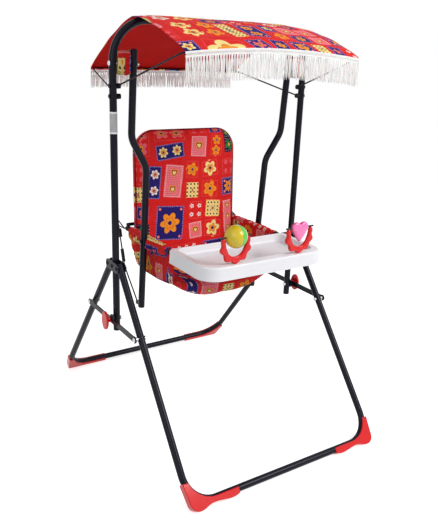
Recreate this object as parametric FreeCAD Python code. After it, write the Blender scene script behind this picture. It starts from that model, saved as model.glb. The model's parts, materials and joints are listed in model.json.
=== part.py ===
"""Child's garden swing with a folding stand, a canopy, a padded seat and a play tray.

Millimetres. X runs from side to side, the child faces -Y and +Z is up. The origin is on the
floor, in the middle of the stand. Every node is written as its own STEP file.
"""
import FreeCAD, Part
import math
import os

from FreeCAD import Vector as V

# Clearances
RUN = 0.05              # radial play of a pin in its hole
FACE_GAP = 0.3          # between faces of pieces that move past each other
CLOTH_GAP = 0.5         # between soft pieces and their neighbours
OVERRUN = 4.0           # how far a cutting tool runs past the piece it cuts

# Round steel tube
TUBE_R = 11.0
TUBE_WALL = 1.2
CAP_WALL = 2.5          # thickness of an end cap outside the tube
CAP_PLUG = 14.0         # how far an end cap reaches into the tube

# Stand
HALF_WIDTH = 350.0      # from the middle to each post
RIDGE_Z = 1310.0        # centre of the arch's top tube
ARCH_BEND = 115.0
JOINER_LENGTH = 120.0   # inner tube that joins the two halves of the arch
POST_BOTTOM = 367.0
HUB_Z = 586.0           # height of the leg pivots
LEG_OFFSET = 34.0       # leg pivots, fore and aft of the post
LEG_OVER = 12.0         # how far a leg's top end runs past its pivot
LEG_REACH = 487.0       # from the posts to each floor tube
FLOOR_BAR_Z = 16.0
LEG_BEND = 85.0         # centre line of the bends between legs and floor tube

# Hub plates
PLATE = 3.0
PLATE_HALF_LENGTH = 46.0
PLATE_HALF_HEIGHT = 16.0
BOLT_R = 4.0
HEAD_R = 7.5
HEAD_H = 4.0
NUT_H = 3.5

# Corner shoes, in the plane of the bend: along the floor tube and up the leg from the corner
SHOE_HALF_T = 13.6
SHOE_WRAP = 5.0         # how far a shoe reaches past the tube's centre line
SHOE_UP = 64.0
SHOE_ALONG = 160.0
SHOE_WALL = 1.6         # below the tube at the waist and the tip
SHOE_SIDE = 3.0         # outside of the shoe at the corner
SHOE_HEEL = 20.0        # depth of the heel below the tube's centre line
SHOE_HEEL_END = 34.0
SHOE_WAIST = 58.0
SHOE_BALL = 17.5        # depth of the swelling near the tip
SHOE_BALL_AT = 130.0
SHOE_EDGE = 2.0
SCREW_R = 4.2
SCREW_H = 1.2
SCREW_SHANK_R = 1.8
SCREW_AT = 122.0        # from the corner along the floor tube

# Braces and knobs
BRACE_Z = 407.0
BRACE_T = 4.0
BRACE_H = 18.0
BRACE_END = 11.0        # past the pivots at both ends
BRACE_GAP = 1.0         # from the hub bolts' heads to the braces
STUD_R = 3.5
STUD_HEAD_R = 6.5
SLOT_PLAY = 0.7
SLOT_LEAN_BOLT = 26.0   # degrees from the vertical
SLOT_LEAN_STUD = 20.0
CLIP_HALF = 9.0         # plastic block between a post's foot and the brace
CLIP_HEIGHT = 26.0
CLIP_BOLT_R = 3.0
KNOB_HALF_W = 21.0
KNOB_HALF_H = 31.0
KNOB_T = 8.0
KNOB_BOSS_R = 9.0
KNOB_BOSS_L = 12.0
KNOB_EDGE = 2.5

# Swing frame
PIVOT_DROP = 120.0      # from the arch's top tube down to the pivots
PIVOT_Z = RIDGE_Z - PIVOT_DROP
LEAN = 4.6              # degrees, the hangers' feet hang back
HANGER_TOP = 39.0       # above the pivot
HANGER_INSET = 65.0     # from a post in to its hanger
HANGER_X = HALF_WIDTH - HANGER_INSET
HANGER_LOW_X = 231.0
JOG_TOP = 217.0         # from the pivot down to the start of the inward bend
JOG_HEIGHT = 92.0
JOG_BEND = 70.0
HANGER_DROP = 792.0     # from the pivot to the foot
SPACER_R = 9.0
GUARD_UP = 36.0
GUARD_DOWN = 42.0
GUARD_HALF_DEPTH = 15.0
GUARD_EDGE = 6.0

# Canopy bows
BOW_R = 2.5
BOW_EYE_R = 8.0
BOW_GAP = 1.5           # from a post to the bows
BOW_PLANE = HALF_WIDTH - TUBE_R - BOW_GAP - BOW_R
FRONT_BOW_DROP = 182.0  # from the arch's top tube down to the bow's bolts
BACK_BOW_DROP = 211.0
FRONT_BOW_Z = RIDGE_Z - FRONT_BOW_DROP
BACK_BOW_Z = RIDGE_Z - BACK_BOW_DROP
BOW_BEND = 22.0
FRONT_BOW_REACH = 305.0
FRONT_BOW_RISE = 98.0
FRONT_BOW_IN = 4.0      # from the cloth's end in to the bow's corner
FRONT_BOW_ARCH = 18.0
BACK_BOW_REACH = 305.0
BACK_BOW_RISE = 67.0
BACK_BOW_IN = 3.0
BACK_BOW_ARCH = 3.0
SHALLOW_BEND = 330.0
BAR_SHARES = (2 / 3, 1 / 3)

# Canopy cloth
CLOTH_T = 1.6
CLOTH_OVER = 5.0        # how far the cloth runs past the bow
CLOTH_INSET = 49.0      # from a post in to the cloth's end
CLOTH_HALF = HALF_WIDTH - CLOTH_INSET
BACK_CLOTH_HALF = CLOTH_HALF - 10.0
CLOTH_BULGE = 11.0
RIDGE_SLIT = 0.2
RIDGE_LIFT = 1.6        # from the top tube to the cloth along the ridge
FRONT_FRINGE = 78.0     # with its header
BACK_FRINGE = 60.0
FRINGE_T = 3.0

# Seat arms
ARM_R = 10.0
ARM_WALL = 1.2
ARM_X = 211.0
ARM_FRONT = 205.0
ARM_REAR = 209.0
ARM_BOLT_R = 3.0
COLLAR_WALL = 2.8
COLLAR_L = 18.0
COLLAR_TIP_WALL = 1.2
COVER_WALL = 3.0
COVER_FRONT = 84.0
COVER_REAR = 172.0
SIDE_T = 5.0
SIDE_DROP = 128.0       # from the tray's top down to the sides' front corners
SIDE_REAR = 186.0
SIDE_KNEE_DROP = 77.0
SIDE_REAR_LOW = 124.0
SIDE_DIP = 10.0

# Rear stays
STAY_R = 2.5
EYE_R = 5.0             # flat eye at the stay's foot
EYE_HALF_T = 2.8
STAY_TOP_Y = 248.0
STAY_TOP_RISE = 11.0    # above the tray's top
STAY_KNEE_Y = 196.0
STAY_KNEE_DROP = 144.0  # below the tray's top
STAY_BEND = 30.0
STAY_FOOT_BACK = 19.0   # from the hanger's surface to the stay's foot
STAY_FOOT_UP = 9.0      # above the hanger's foot
LINK_DROP = 22.0        # between the two links, along the stay
LINK_RISE = 6.0         # from the arm's middle to where the links leave it
LINK_R = 2.2
WELD_R = 3.2            # bead where the links meet
SLEEVE_R = 6.0
SLEEVE_L = 46.0
SLEEVE_UP = 14.0        # from the knee to the sleeve
KNUCKLE_R = 8.0
KNUCKLE_L = 30.0
KNUCKLE_OVER = 5.0
BRACKET_HALF = 5.0
BRACKET_OVER = 5.0

# Seat
CROSS_R = 6.0
CROSS_HALF = 218.0
BACK_REAR = 193.0
BACK_LEAN = 2.6         # degrees, the top leans back
BACK_T = 38.0
BACK_HALF = 197.0
BACK_RISE = 322.0       # from the tray's top up to the back's top
BACK_DROP = 166.0       # and down to its bottom
BACK_CORNER = 78.0
BACK_LOW_CORNER = 60.0
BACK_INSET_REAR = 5.0
BACK_INSET_FRONT = 34.0
BACK_EDGE_REAR = 4.0
BACK_EDGE = 12.0        # width of the straight side between rear and crown
PAN_FRONT = 100.0
PAN_DROP = 125.0        # from the tray's top down to the seat's edges
PAN_EDGE_T = 16.0
PAN_SAG_REAR = 56.0
PAN_SAG_MIDDLE = 72.0
PAN_SAG_FRONT = 66.0
PAN_T = 44.0

# Tray
TRAY_HALF = 224.5
TRAY_BACK = 105.0
TRAY_FRONT = 334.0
TRAY_DROP = 538.0       # from the pivots down to the tray's top
TRAY_LIP = 42.0
TRAY_WALL = 3.0
TRAY_CORNER = 60.0
TRAY_BACK_CORNER = 16.0
TRAY_EDGE = 2.0
LEDGE_SIDE = 24.6
LEDGE_FRONT = 36.0
LEDGE_BACK = 12.0
RECESS_DEPTH = 24.0
RECESS_CORNER = 26.0

# Toys on the tray
TOY_X = 118.0
TOY_BACK = 17.0         # from the tray's front edge to the middle of the rings
RING_OUT = 48.0
RING_IN = 38.0
RING_T = 13.0
RING_ARM = 34.0         # straight part above the round part
RING_LOBES = 5
LOBE_STEP = 39.0        # degrees from one lobe to the next
LOBE_R = 11.0
LOBE_OUT = 4.0
PEG_R = 4.0
PEG_L = 9.0
AXLE_R = 2.5
AXLE_OVER = 5.0
BALL_R = 34.0
HEART_HALF = 31.0
HEART_UP = 17.0
HEART_DOWN = 45.0
HEART_T = 20.0
HEART_EDGE = 3.0
HEART_CLEFT = 7.0
HEART_FACE_SHARE = 0.9
INNER_SHARE = 0.4
SHOULDER_SHARE = 0.94
FLANK_SHARE = 0.66

AXIS_X = V(1, 0, 0)
AXIS_Y = V(0, 1, 0)
AXIS_Z = V(0, 0, 1)

# Blank label on the left post
LABEL_T = 0.3
LABEL_DROP = 134.0      # from the pivots down to the label
LABEL_H = 63.0

# Levels and planes that several pieces share
POST_FACE = HALF_WIDTH + TUBE_R
TRAY_TOP = PIVOT_Z - TRAY_DROP
SIDE_BOTTOM = TRAY_TOP - SIDE_DROP
BACK_TOP = TRAY_TOP + BACK_RISE
BACK_BOTTOM = TRAY_TOP - BACK_DROP
PAN_EDGE_Z = TRAY_TOP - PAN_DROP
LABEL_TOP = PIVOT_Z - LABEL_DROP
BRACE_FACE = POST_FACE + FACE_GAP + PLATE + HEAD_H + BRACE_GAP
ARM_Z = TRAY_TOP - TRAY_WALL - FACE_GAP - ARM_R
CROSS_Y = BACK_REAR + FACE_GAP + CROSS_R
CROSS_Z = ARM_Z + ARM_R + CROSS_R
PAN_HALF = ARM_X - ARM_R - COVER_WALL - CLOTH_GAP - PAN_EDGE_T / 4


def rod(start, end, radius):
    """Solid round bar between two points."""
    along = end.sub(start)
    return Part.makeCylinder(radius, along.Length, start, along)


def cone(start, end, r_start, r_end):
    """Tapered round bar between two points."""
    along = end.sub(start)
    return Part.makeCone(r_start, r_end, along.Length, start, along)


def ring(start, end, outer, inner):
    """Round bar with a bore along its middle."""
    along = end.sub(start)
    over = V(along).normalize() * OVERRUN
    return rod(start, end, outer).cut(rod(start.sub(over), end.add(over), inner))


def mirrored(shape):
    """The same piece on the other side of the swing."""
    return shape.mirror(V(0, 0, 0), AXIS_X)


def both(shape):
    """A piece and its mirror image, as two solids."""
    return Part.makeCompound([shape, mirrored(shape)])


def bent_path(points, radii):
    """A wire of straight runs joined by tangent arcs, one radius for each inner point."""
    edges = []
    here = points[0]
    for before, corner, after, radius in zip(points, points[1:], points[2:], radii):
        a = before.sub(corner).normalize()
        b = after.sub(corner).normalize()
        half_turn = (math.pi - a.getAngle(b)) / 2
        reach = radius * math.tan(half_turn)
        start = corner.add(a * reach)
        end = corner.add(b * reach)
        inward = a.add(b).normalize()
        middle = corner.add(inward * (radius / math.cos(half_turn) - radius))
        edges.append(Part.makeLine(here, start))
        edges.append(Part.Arc(start, middle, end).toShape())
        here = end
    edges.append(Part.makeLine(here, points[-1]))
    return Part.Wire(edges)


def swept(points, radii, radius):
    """Solid round bar along a bent path."""
    path = bent_path(points, radii)
    along = points[1].sub(points[0])
    circle = Part.Wire(Part.makeCircle(radius, points[0], along))
    return path.makePipeShell([circle], True, False)


def bent_tube(points, radii, radius, wall):
    """Hollow round tube along a bent path."""
    return swept(points, radii, radius).cut(swept(points, radii, radius - wall))


def holed(shape, *tools):
    """A piece with holes or notches cut in it."""
    for tool in tools:
        shape = shape.cut(tool)
    return shape


def dome(radius, height, at, direction):
    """Low domed bolt head that sits on a plane at a point."""
    sphere_r = (radius ** 2 + height ** 2) / (2 * height)
    half = math.asin(radius / sphere_r) / 2
    top = V(0, 0, height)
    rim = V(radius, 0, 0)
    middle = V(sphere_r * math.sin(half), 0, sphere_r * math.cos(half) - sphere_r + height)
    edges = [Part.makeLine(V(0, 0, 0), rim), Part.Arc(rim, middle, top).toShape(),
             Part.makeLine(top, V(0, 0, 0))]
    shape = Part.Face(Part.Wire(edges)).revolve(V(0, 0, 0), AXIS_Z, 360)
    shape.Placement = FreeCAD.Placement(at, FreeCAD.Rotation(AXIS_Z, direction))
    return shape


def end_cap(at, direction, radius, wall):
    """Plastic cap with a round top and a plug inside the tube's end."""
    plug = rod(at.sub(direction * CAP_PLUG), at, radius - wall - RUN)
    return dome(radius, CAP_WALL, at, direction).fuse(plug).removeSplitter()


def x_hole(x_from, x_to, y, z, radius):
    """Cutting tool for a hole along X."""
    return rod(V(x_from, y, z), V(x_to, y, z), radius)


# Stand


def leg_point(reach, z):
    """Centre of a leg at a height, on the side that the reach's sign gives."""
    side = math.copysign(1, reach)
    share = (HUB_Z - z) / (HUB_Z - FLOOR_BAR_Z)
    return V(HALF_WIDTH, side * LEG_OFFSET + (reach - side * LEG_OFFSET) * share, z)


def leg_direction(reach):
    """Unit vector down a leg."""
    return leg_point(reach, FLOOR_BAR_Z).sub(leg_point(reach, HUB_Z)).normalize()


def hub_bolt_places():
    """Fore and aft places of the hub's bolts: front leg, post, back leg."""
    return (-LEG_OFFSET, 0, LEG_OFFSET)


def half_arch():
    """Right post, its bend and half of the top tube."""
    points = [V(HALF_WIDTH, 0, POST_BOTTOM), V(HALF_WIDTH, 0, RIDGE_Z), V(0, 0, RIDGE_Z)]
    tube = bent_tube(points, [ARCH_BEND], TUBE_R, TUBE_WALL)
    inside = HALF_WIDTH - TUBE_R - OVERRUN
    outside = POST_FACE + OVERRUN
    holes = [x_hole(inside, outside, 0, z, BOLT_R + RUN)
             for z in (PIVOT_Z, FRONT_BOW_Z, BACK_BOW_Z, HUB_Z)]
    holes.append(x_hole(inside, outside, 0, BRACE_Z, CLIP_BOLT_R + RUN))
    return holed(tube, *holes)


def ridge_joiner():
    """Inner tube that joins the two halves of the arch."""
    half = JOINER_LENGTH / 2
    outer = TUBE_R - TUBE_WALL - RUN
    return ring(V(-half, 0, RIDGE_Z), V(half, 0, RIDGE_Z), outer, outer - TUBE_WALL)


def arch_envelope(gap):
    """The right half of the arch with a gap round it, to cut what fits against it."""
    points = [V(HALF_WIDTH, 0, HUB_Z), V(HALF_WIDTH, 0, RIDGE_Z), V(0, 0, RIDGE_Z)]
    return swept(points, [ARCH_BEND], TUBE_R + gap)


def label():
    """Blank label round the front of the left post."""
    low, high = V(-HALF_WIDTH, 0, LABEL_TOP - LABEL_H), V(-HALF_WIDTH, 0, LABEL_TOP)
    shell = ring(low, high, TUBE_R + RUN + LABEL_T, TUBE_R + RUN)
    return shell.cut(Part.makeBox(4 * TUBE_R, 4 * TUBE_R, 2 * LABEL_TOP,
                                  V(-HALF_WIDTH - 2 * TUBE_R, TUBE_R / 4, 0)))


def post_caps():
    """Plastic caps on the posts' lower ends."""
    return both(end_cap(V(HALF_WIDTH, 0, POST_BOTTOM), V(0, 0, -1), TUBE_R, TUBE_WALL))


def hub_plate(face):
    """One steel plate of a hub, with its inner face at a distance from the middle."""
    straight = PLATE_HALF_LENGTH - PLATE_HALF_HEIGHT
    block = Part.makeBox(PLATE, 2 * straight, 2 * PLATE_HALF_HEIGHT,
                         V(face, -straight, HUB_Z - PLATE_HALF_HEIGHT))
    shape = block
    for y in (-straight, straight):
        shape = shape.fuse(x_hole(face, face + PLATE, y, HUB_Z, PLATE_HALF_HEIGHT))
    shape = shape.removeSplitter()
    holes = [x_hole(face - OVERRUN, face + PLATE + OVERRUN, y, HUB_Z, BOLT_R + RUN)
             for y in hub_bolt_places()]
    return holed(shape, *holes)


def through_bolt(y, z, inner, outer, radius):
    """Bolt along X with a domed head at the outer face and a nut at the inner face."""
    shank = x_hole(inner - NUT_H, outer, y, z, radius)
    head = dome(HEAD_R, HEAD_H, V(outer, y, z), AXIS_X)
    nut = x_hole(inner - NUT_H, inner, y, z, HEAD_R)
    return shank.fuse([head, nut]).removeSplitter()


def hub_bolts():
    """The bolts of both hubs: leg pivots and post bolts."""
    inner = HALF_WIDTH - TUBE_R - FACE_GAP - PLATE
    outer = POST_FACE + FACE_GAP + PLATE
    bolts = [through_bolt(y, HUB_Z, inner, outer, BOLT_R) for y in hub_bolt_places()]
    return Part.makeCompound(bolts + [mirrored(b) for b in bolts])


def leg_frame_path(reach):
    """Corner points of a leg frame: up a leg, along the floor and up the other leg."""
    down = leg_direction(reach)
    top = leg_point(reach, HUB_Z).sub(down * LEG_OVER)
    right = [top, leg_point(reach, FLOOR_BAR_Z)]
    return right + [V(-p.x, p.y, p.z) for p in reversed(right)]


def leg_frame(reach):
    """Pair of legs and the floor tube between them, bent from one tube."""
    tube = bent_tube(leg_frame_path(reach), [LEG_BEND] * 2, TUBE_R, TUBE_WALL)
    end = POST_FACE + OVERRUN
    pivot = leg_point(reach, HUB_Z)
    side = leg_point(reach, BRACE_Z)
    holes = [x_hole(-end, end, pivot.y, pivot.z, BOLT_R + RUN),
             x_hole(-end, end, side.y, side.z, STUD_R + RUN)]
    holes += [rod(V(s * screw_x(), reach, 0), V(s * screw_x(), reach, FLOOR_BAR_Z),
                  SCREW_SHANK_R + RUN) for s in (-1, 1)]
    return holed(tube, *holes)


def leg_caps(reach):
    """Plastic caps on the top ends of a pair of legs."""
    down = leg_direction(reach)
    top = leg_point(reach, HUB_Z).sub(down * LEG_OVER)
    inner = TUBE_R - TUBE_WALL - RUN
    plug = rod(top, top.add(down * (LEG_OVER - BOLT_R - FACE_GAP)), inner)
    cap = dome(TUBE_R, CAP_WALL, top, down.negative()).fuse(plug).removeSplitter()
    return both(cap)


def screw_x():
    """Distance from the middle to a shoe's screw."""
    return HALF_WIDTH - SCREW_AT


def shoe_outline(at):
    """Closed outline of a shoe, with at(along, up) giving a point in the bend's plane."""
    far = LEG_BEND - SHOE_UP
    inner_r = LEG_BEND - SHOE_WRAP
    outer_r = LEG_BEND + TUBE_R + SHOE_WALL
    inner_top = LEG_BEND - math.sqrt(inner_r ** 2 - far ** 2)
    outer_top = LEG_BEND - math.sqrt(outer_r ** 2 - far ** 2)
    turn = (math.asin(far / inner_r) + math.pi / 2) / 2
    inner_middle = (LEG_BEND - inner_r * math.cos(turn), LEG_BEND - inner_r * math.sin(turn))
    below = -(TUBE_R + SHOE_WALL)
    outer, side, tip = at(outer_top, SHOE_UP), at(-SHOE_SIDE, 0), at(SHOE_ALONG, below)
    sole = [(SHOE_HEEL - SHOE_SIDE, -SHOE_HEEL), (SHOE_HEEL_END, -SHOE_HEEL), (SHOE_WAIST, below),
            (SHOE_BALL_AT, -SHOE_BALL)]
    curve = Part.BSplineCurve()
    curve.interpolate([side] + [at(u, v) for u, v in sole] + [tip])
    inner_tip = at(SHOE_ALONG, SHOE_WRAP)
    inner_end, top = at(LEG_BEND, SHOE_WRAP), at(inner_top, SHOE_UP)
    edges = [Part.makeLine(outer, side), curve.toShape(), Part.makeLine(tip, inner_tip),
             Part.makeLine(inner_tip, inner_end),
             Part.Arc(inner_end, at(*inner_middle), top).toShape(), Part.makeLine(top, outer)]
    return Part.Wire(edges)


def corner_shoe(reach):
    """Right plastic shoe outside the bend, with a heel at the corner and a long wing."""
    corner = leg_point(reach, FLOOR_BAR_Z)
    up = leg_direction(reach).negative()
    inward = AXIS_X.negative()
    normal = inward.cross(up).normalize()

    def at(along, rise):
        return corner.add(inward * along).add(up * rise)

    body = Part.Face(shoe_outline(at)).extrude(normal * (2 * SHOE_HALF_T))
    body.translate(normal * -SHOE_HALF_T)
    body = body.makeChamfer(SHOE_EDGE, [e for e in body.Edges if on_shoe_face(e, corner, normal)])
    reach_out = 2 * SHOE_ALONG
    floor = Part.makeBox(2 * reach_out, 2 * reach_out, reach_out,
                         V(corner.x - reach_out, reach - reach_out, -reach_out))
    envelope = swept(leg_frame_path(reach), [LEG_BEND] * 2, TUBE_R + RUN)
    screw = rod(V(screw_x(), reach, -OVERRUN), V(screw_x(), reach, FLOOR_BAR_Z),
                SCREW_SHANK_R + RUN)
    sink = rod(V(screw_x(), reach, -OVERRUN), V(screw_x(), reach, SCREW_H), SCREW_R + RUN)
    return holed(body, floor, envelope, screw, sink)


def on_shoe_face(edge, corner, normal):
    """Whether an edge lies in one of a shoe's two flat faces."""
    heights = [abs(v.Point.sub(corner).dot(normal)) for v in edge.Vertexes]
    return all(abs(h - SHOE_HALF_T) < RUN for h in heights)


def shoe_screws(reach):
    """Pair of screws from below, through the shoes' wings into the floor tube."""
    x = screw_x()
    head = rod(V(x, reach, RUN), V(x, reach, SCREW_H), SCREW_R)
    shank = rod(V(x, reach, SCREW_H), V(x, reach, FLOOR_BAR_Z - TUBE_R + 2 * TUBE_WALL), SCREW_SHANK_R)
    return both(head.fuse(shank).removeSplitter())


# Braces, studs and knobs


def slanted_slot(y, lean, radius):
    """Open slot in a brace's lower edge, from a pin's seat down and back."""
    lean = math.radians(lean)
    reach = BRACE_H
    seat = V(BRACE_FACE - OVERRUN, y, BRACE_Z)
    across = V(2 * OVERRUN + BRACE_T, 0, 0)
    away = V(0, math.sin(lean), -math.cos(lean))
    side = V(0, math.cos(lean), math.sin(lean)) * radius
    mouth = seat.add(away * reach)
    corners = [seat.add(side), mouth.add(side * 1.25), mouth.sub(side), seat.sub(side)]
    outline = Part.makePolygon(corners + [corners[0]])
    slot = Part.Face(outline).extrude(across)
    return slot.fuse(rod(seat, seat.add(across), radius))


def brace():
    """Right brace: a flat bar from the back leg to a hook over the front leg's stud."""
    back = leg_point(LEG_REACH, BRACE_Z).y
    front = leg_point(-LEG_REACH, BRACE_Z).y
    half = BRACE_H / 2
    bar = Part.makeBox(BRACE_T, back - front, BRACE_H, V(BRACE_FACE, front, BRACE_Z - half))
    ends = [x_hole(BRACE_FACE, BRACE_FACE + BRACE_T, y, BRACE_Z, r)
            for y, r in ((back, half), (front, BRACE_END))]
    shape = bar.fuse(ends).removeSplitter()
    pivot = x_hole(BRACE_FACE - OVERRUN, BRACE_FACE + BRACE_T + OVERRUN, back, BRACE_Z,
                   STUD_R + RUN)
    return holed(shape, pivot,
                 slanted_slot(0, SLOT_LEAN_BOLT, CLIP_BOLT_R + SLOT_PLAY),
                 slanted_slot(front, SLOT_LEAN_STUD, STUD_R + SLOT_PLAY))


def brace_stud(reach):
    """Pair of studs on a pair of legs, with the collar that keeps the brace off the leg."""
    at = leg_point(reach, BRACE_Z)
    inner = HALF_WIDTH - TUBE_R - FACE_GAP
    outer = BRACE_FACE + BRACE_T + FACE_GAP
    stud = x_hole(inner, outer, at.y, at.z, STUD_R)
    stud = stud.fuse([dome(STUD_HEAD_R, HEAD_H, V(outer, at.y, at.z), AXIS_X),
                      x_hole(POST_FACE + FACE_GAP, BRACE_FACE - FACE_GAP, at.y, at.z,
                             STUD_HEAD_R),
                      x_hole(inner - NUT_H, inner, at.y, at.z, STUD_HEAD_R)])
    return both(stud.removeSplitter())


def foot_clip():
    """Plastic blocks between the posts' feet and the braces."""
    block = Part.makeBox(BRACE_FACE - FACE_GAP - POST_FACE, 2 * CLIP_HALF, CLIP_HEIGHT,
                         V(POST_FACE, -CLIP_HALF, BRACE_Z - CLIP_HEIGHT / 2))
    hole = x_hole(POST_FACE - OVERRUN, BRACE_FACE + OVERRUN, 0, BRACE_Z, CLIP_BOLT_R + RUN)
    return both(block.cut(hole))


def knob_bolt():
    """Bolts through the posts' feet that the knobs turn on."""
    inner = HALF_WIDTH - TUBE_R - FACE_GAP
    end = BRACE_FACE + BRACE_T + FACE_GAP + KNOB_BOSS_L
    shank = x_hole(inner - NUT_H, end, 0, BRACE_Z, CLIP_BOLT_R)
    nut = x_hole(inner - NUT_H, inner, 0, BRACE_Z, STUD_HEAD_R)
    return both(shank.fuse(nut).removeSplitter())


def knob():
    """Right red knob: an oval plate on a round boss."""
    start = BRACE_FACE + BRACE_T + FACE_GAP
    plate_x = start + KNOB_BOSS_L
    ellipse = Part.Ellipse(V(0, 0, 0), KNOB_HALF_H, KNOB_HALF_W).toShape()
    ellipse.rotate(V(0, 0, 0), AXIS_Y, -90)
    ellipse.translate(V(plate_x, 0, BRACE_Z))
    plate = Part.Face(Part.Wire(ellipse)).extrude(V(KNOB_T, 0, 0))
    plate = plate.makeFillet(KNOB_EDGE, [e for e in plate.Edges if not e.isSeam(plate.Faces[0])])
    boss = x_hole(start, plate_x + KNOB_T / 2, 0, BRACE_Z, KNOB_BOSS_R)
    shape = plate.fuse(boss).removeSplitter()
    return holed(shape, x_hole(start - OVERRUN, plate_x + FACE_GAP, 0, BRACE_Z,
                               CLIP_BOLT_R + RUN))


# Swing frame


def leaned(shape):
    """Tilt a piece about the swing's pivots, with its foot to the back."""
    copy = shape.copy()
    copy.rotate(V(0, 0, PIVOT_Z), AXIS_X, LEAN)
    return copy


def hanger_points():
    """Centre line of the right hanger before it is tilted."""
    low = PIVOT_Z - HANGER_DROP
    return [V(HANGER_X, 0, PIVOT_Z + HANGER_TOP), V(HANGER_X, 0, PIVOT_Z - JOG_TOP),
            V(HANGER_LOW_X, 0, PIVOT_Z - JOG_TOP - JOG_HEIGHT), V(HANGER_LOW_X, 0, low)]


def hanger_y(z):
    """Fore and aft place of the tilted hanger's centre at a height."""
    return (PIVOT_Z - z) * math.tan(math.radians(LEAN))


def arm_bolt_tool(radius):
    """Hole or bolt along X where an arm crosses its hanger."""
    return x_hole(ARM_X - ARM_R - NUT_H, HANGER_LOW_X + TUBE_R + FACE_GAP, hanger_y(ARM_Z),
                  ARM_Z, radius)


def bracket_y():
    """Fore and aft place of the stay's foot."""
    return hanger_y(bracket_z()) + TUBE_R + STAY_FOOT_BACK


def bracket_z():
    """Height of the stay's foot."""
    return PIVOT_Z - HANGER_DROP + STAY_FOOT_UP


def hanger():
    """Right hanger tube with an inward bend below the canopy."""
    tube = leaned(bent_tube(hanger_points(), [JOG_BEND, JOG_BEND], TUBE_R, TUBE_WALL))
    pivot = x_hole(HANGER_X - TUBE_R - OVERRUN, HANGER_X + TUBE_R + OVERRUN, 0, PIVOT_Z,
                   BOLT_R + RUN)
    return holed(tube, pivot, arm_bolt_tool(ARM_BOLT_R + RUN))


def hanger_envelope(gap):
    """The hanger's lower run with a gap round it, to cut what fits against it."""
    points = hanger_points()
    return leaned(rod(points[3], points[2], TUBE_R + gap))


def hanger_caps():
    """Plastic caps on both ends of the hangers."""
    points = hanger_points()
    top = both(leaned(end_cap(points[0], AXIS_Z, TUBE_R, TUBE_WALL)))
    foot = both(leaned(end_cap(points[3], AXIS_Z.negative(), TUBE_R, TUBE_WALL)))
    return Part.makeCompound(top.Solids + foot.Solids)


def pivot_bolts():
    """Bolts that carry the swing, with spacers between posts and hangers."""
    inner = HANGER_X - TUBE_R - FACE_GAP
    bolt = through_bolt(0, PIVOT_Z, inner, POST_FACE, BOLT_R)
    spacer = x_hole(HANGER_X + TUBE_R + FACE_GAP, HALF_WIDTH - TUBE_R - FACE_GAP, 0, PIVOT_Z,
                    SPACER_R)
    return both(bolt.fuse(spacer).removeSplitter())


def pivot_guard():
    """Right soft guard round the spacer, between the post and the hanger."""
    start = HANGER_X + TUBE_R + CLOTH_GAP * 2
    length = HALF_WIDTH - TUBE_R - CLOTH_GAP * 2 - start
    block = Part.makeBox(length, 2 * GUARD_HALF_DEPTH, GUARD_UP + GUARD_DOWN,
                         V(start, -GUARD_HALF_DEPTH, PIVOT_Z - GUARD_DOWN))
    long_edges = [e for e in block.Edges
                  if abs(e.Vertexes[0].X - e.Vertexes[-1].X) > length / 2]
    block = block.makeFillet(GUARD_EDGE, long_edges)
    return holed(block, x_hole(start - OVERRUN, start + length + OVERRUN, 0, PIVOT_Z,
                               SPACER_R + RUN), arch_envelope(CLOTH_GAP))


# Canopy


def bow(side, z, reach, rise, half, arch):
    """Wire bow with an eye on each post's bolt. side is -1 for the front, 1 for the back."""
    corner_z = z + rise
    y = side * reach
    eye = V(BOW_PLANE, 0, z)
    corner = V(half, y, corner_z)
    start = eye.add(corner.sub(eye).normalize() * (BOLT_R + RUN + BOW_R))
    knees = [V(half * share, y, corner_z + arch * (1 - share ** 2)) for share in BAR_SHARES]
    right = [start, corner] + knees
    left = [V(-p.x, p.y, p.z) for p in reversed(right)]
    bends = [BOW_BEND] + [SHALLOW_BEND] * 2 * len(knees) + [BOW_BEND]
    wire = swept(right + left, bends, BOW_R)
    eyes = []
    for s in (-1, 1):
        a = V(s * (BOW_PLANE - BOW_R), 0, z)
        b = V(s * (BOW_PLANE + BOW_R), 0, z)
        wire = wire.cut(rod(a.sub(AXIS_X * s * OVERRUN), b.add(AXIS_X * s * OVERRUN), BOLT_R + RUN))
        eyes.append(ring(a, b, BOW_EYE_R, BOLT_R + RUN))
    return wire.fuse(eyes).removeSplitter()


def bow_bolts():
    """Bolts that the bows turn on."""
    inner = BOW_PLANE - BOW_R - 4 * FACE_GAP
    bolts = [through_bolt(0, z, inner, POST_FACE, BOLT_R) for z in (FRONT_BOW_Z, BACK_BOW_Z)]
    return Part.makeCompound(bolts + [mirrored(b) for b in bolts])


def cloth_section(x, side, hem_y, hem_z):
    """Closed outline of the canopy cloth across the ridge at one place along it."""
    ridge = RIDGE_Z + TUBE_R + RIDGE_LIFT
    outline = []
    for lift in (CLOTH_T, 0):
        a = V(x, side * RIDGE_SLIT, ridge + lift)
        b = V(x, hem_y, hem_z + lift)
        along = b.sub(a)
        out = V(0, -along.z * side, along.y * side).normalize() * CLOTH_BULGE
        middle = a.add(along * 0.5).add(out)
        outline.append((a, middle, b))
    (a1, m1, b1), (a0, m0, b0) = outline
    edges = [Part.Arc(a1, m1, b1).toShape(), Part.makeLine(b1, b0),
             Part.Arc(b0, m0, a0).toShape(), Part.makeLine(a0, a1)]
    return Part.Wire(edges)


def canopy_cloth(side, z, reach, rise, arch, half):
    """One half of the canopy cloth, from the ridge to past its bow."""
    hem_y = side * (reach + CLOTH_OVER)
    low = z + rise + BOW_R + CLOTH_GAP
    sections = [cloth_section(x, side, hem_y, low + lift)
                for x, lift in ((-half, 0), (0, arch), (half, 0))]
    return Part.makeLoft(sections, True, False)


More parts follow.
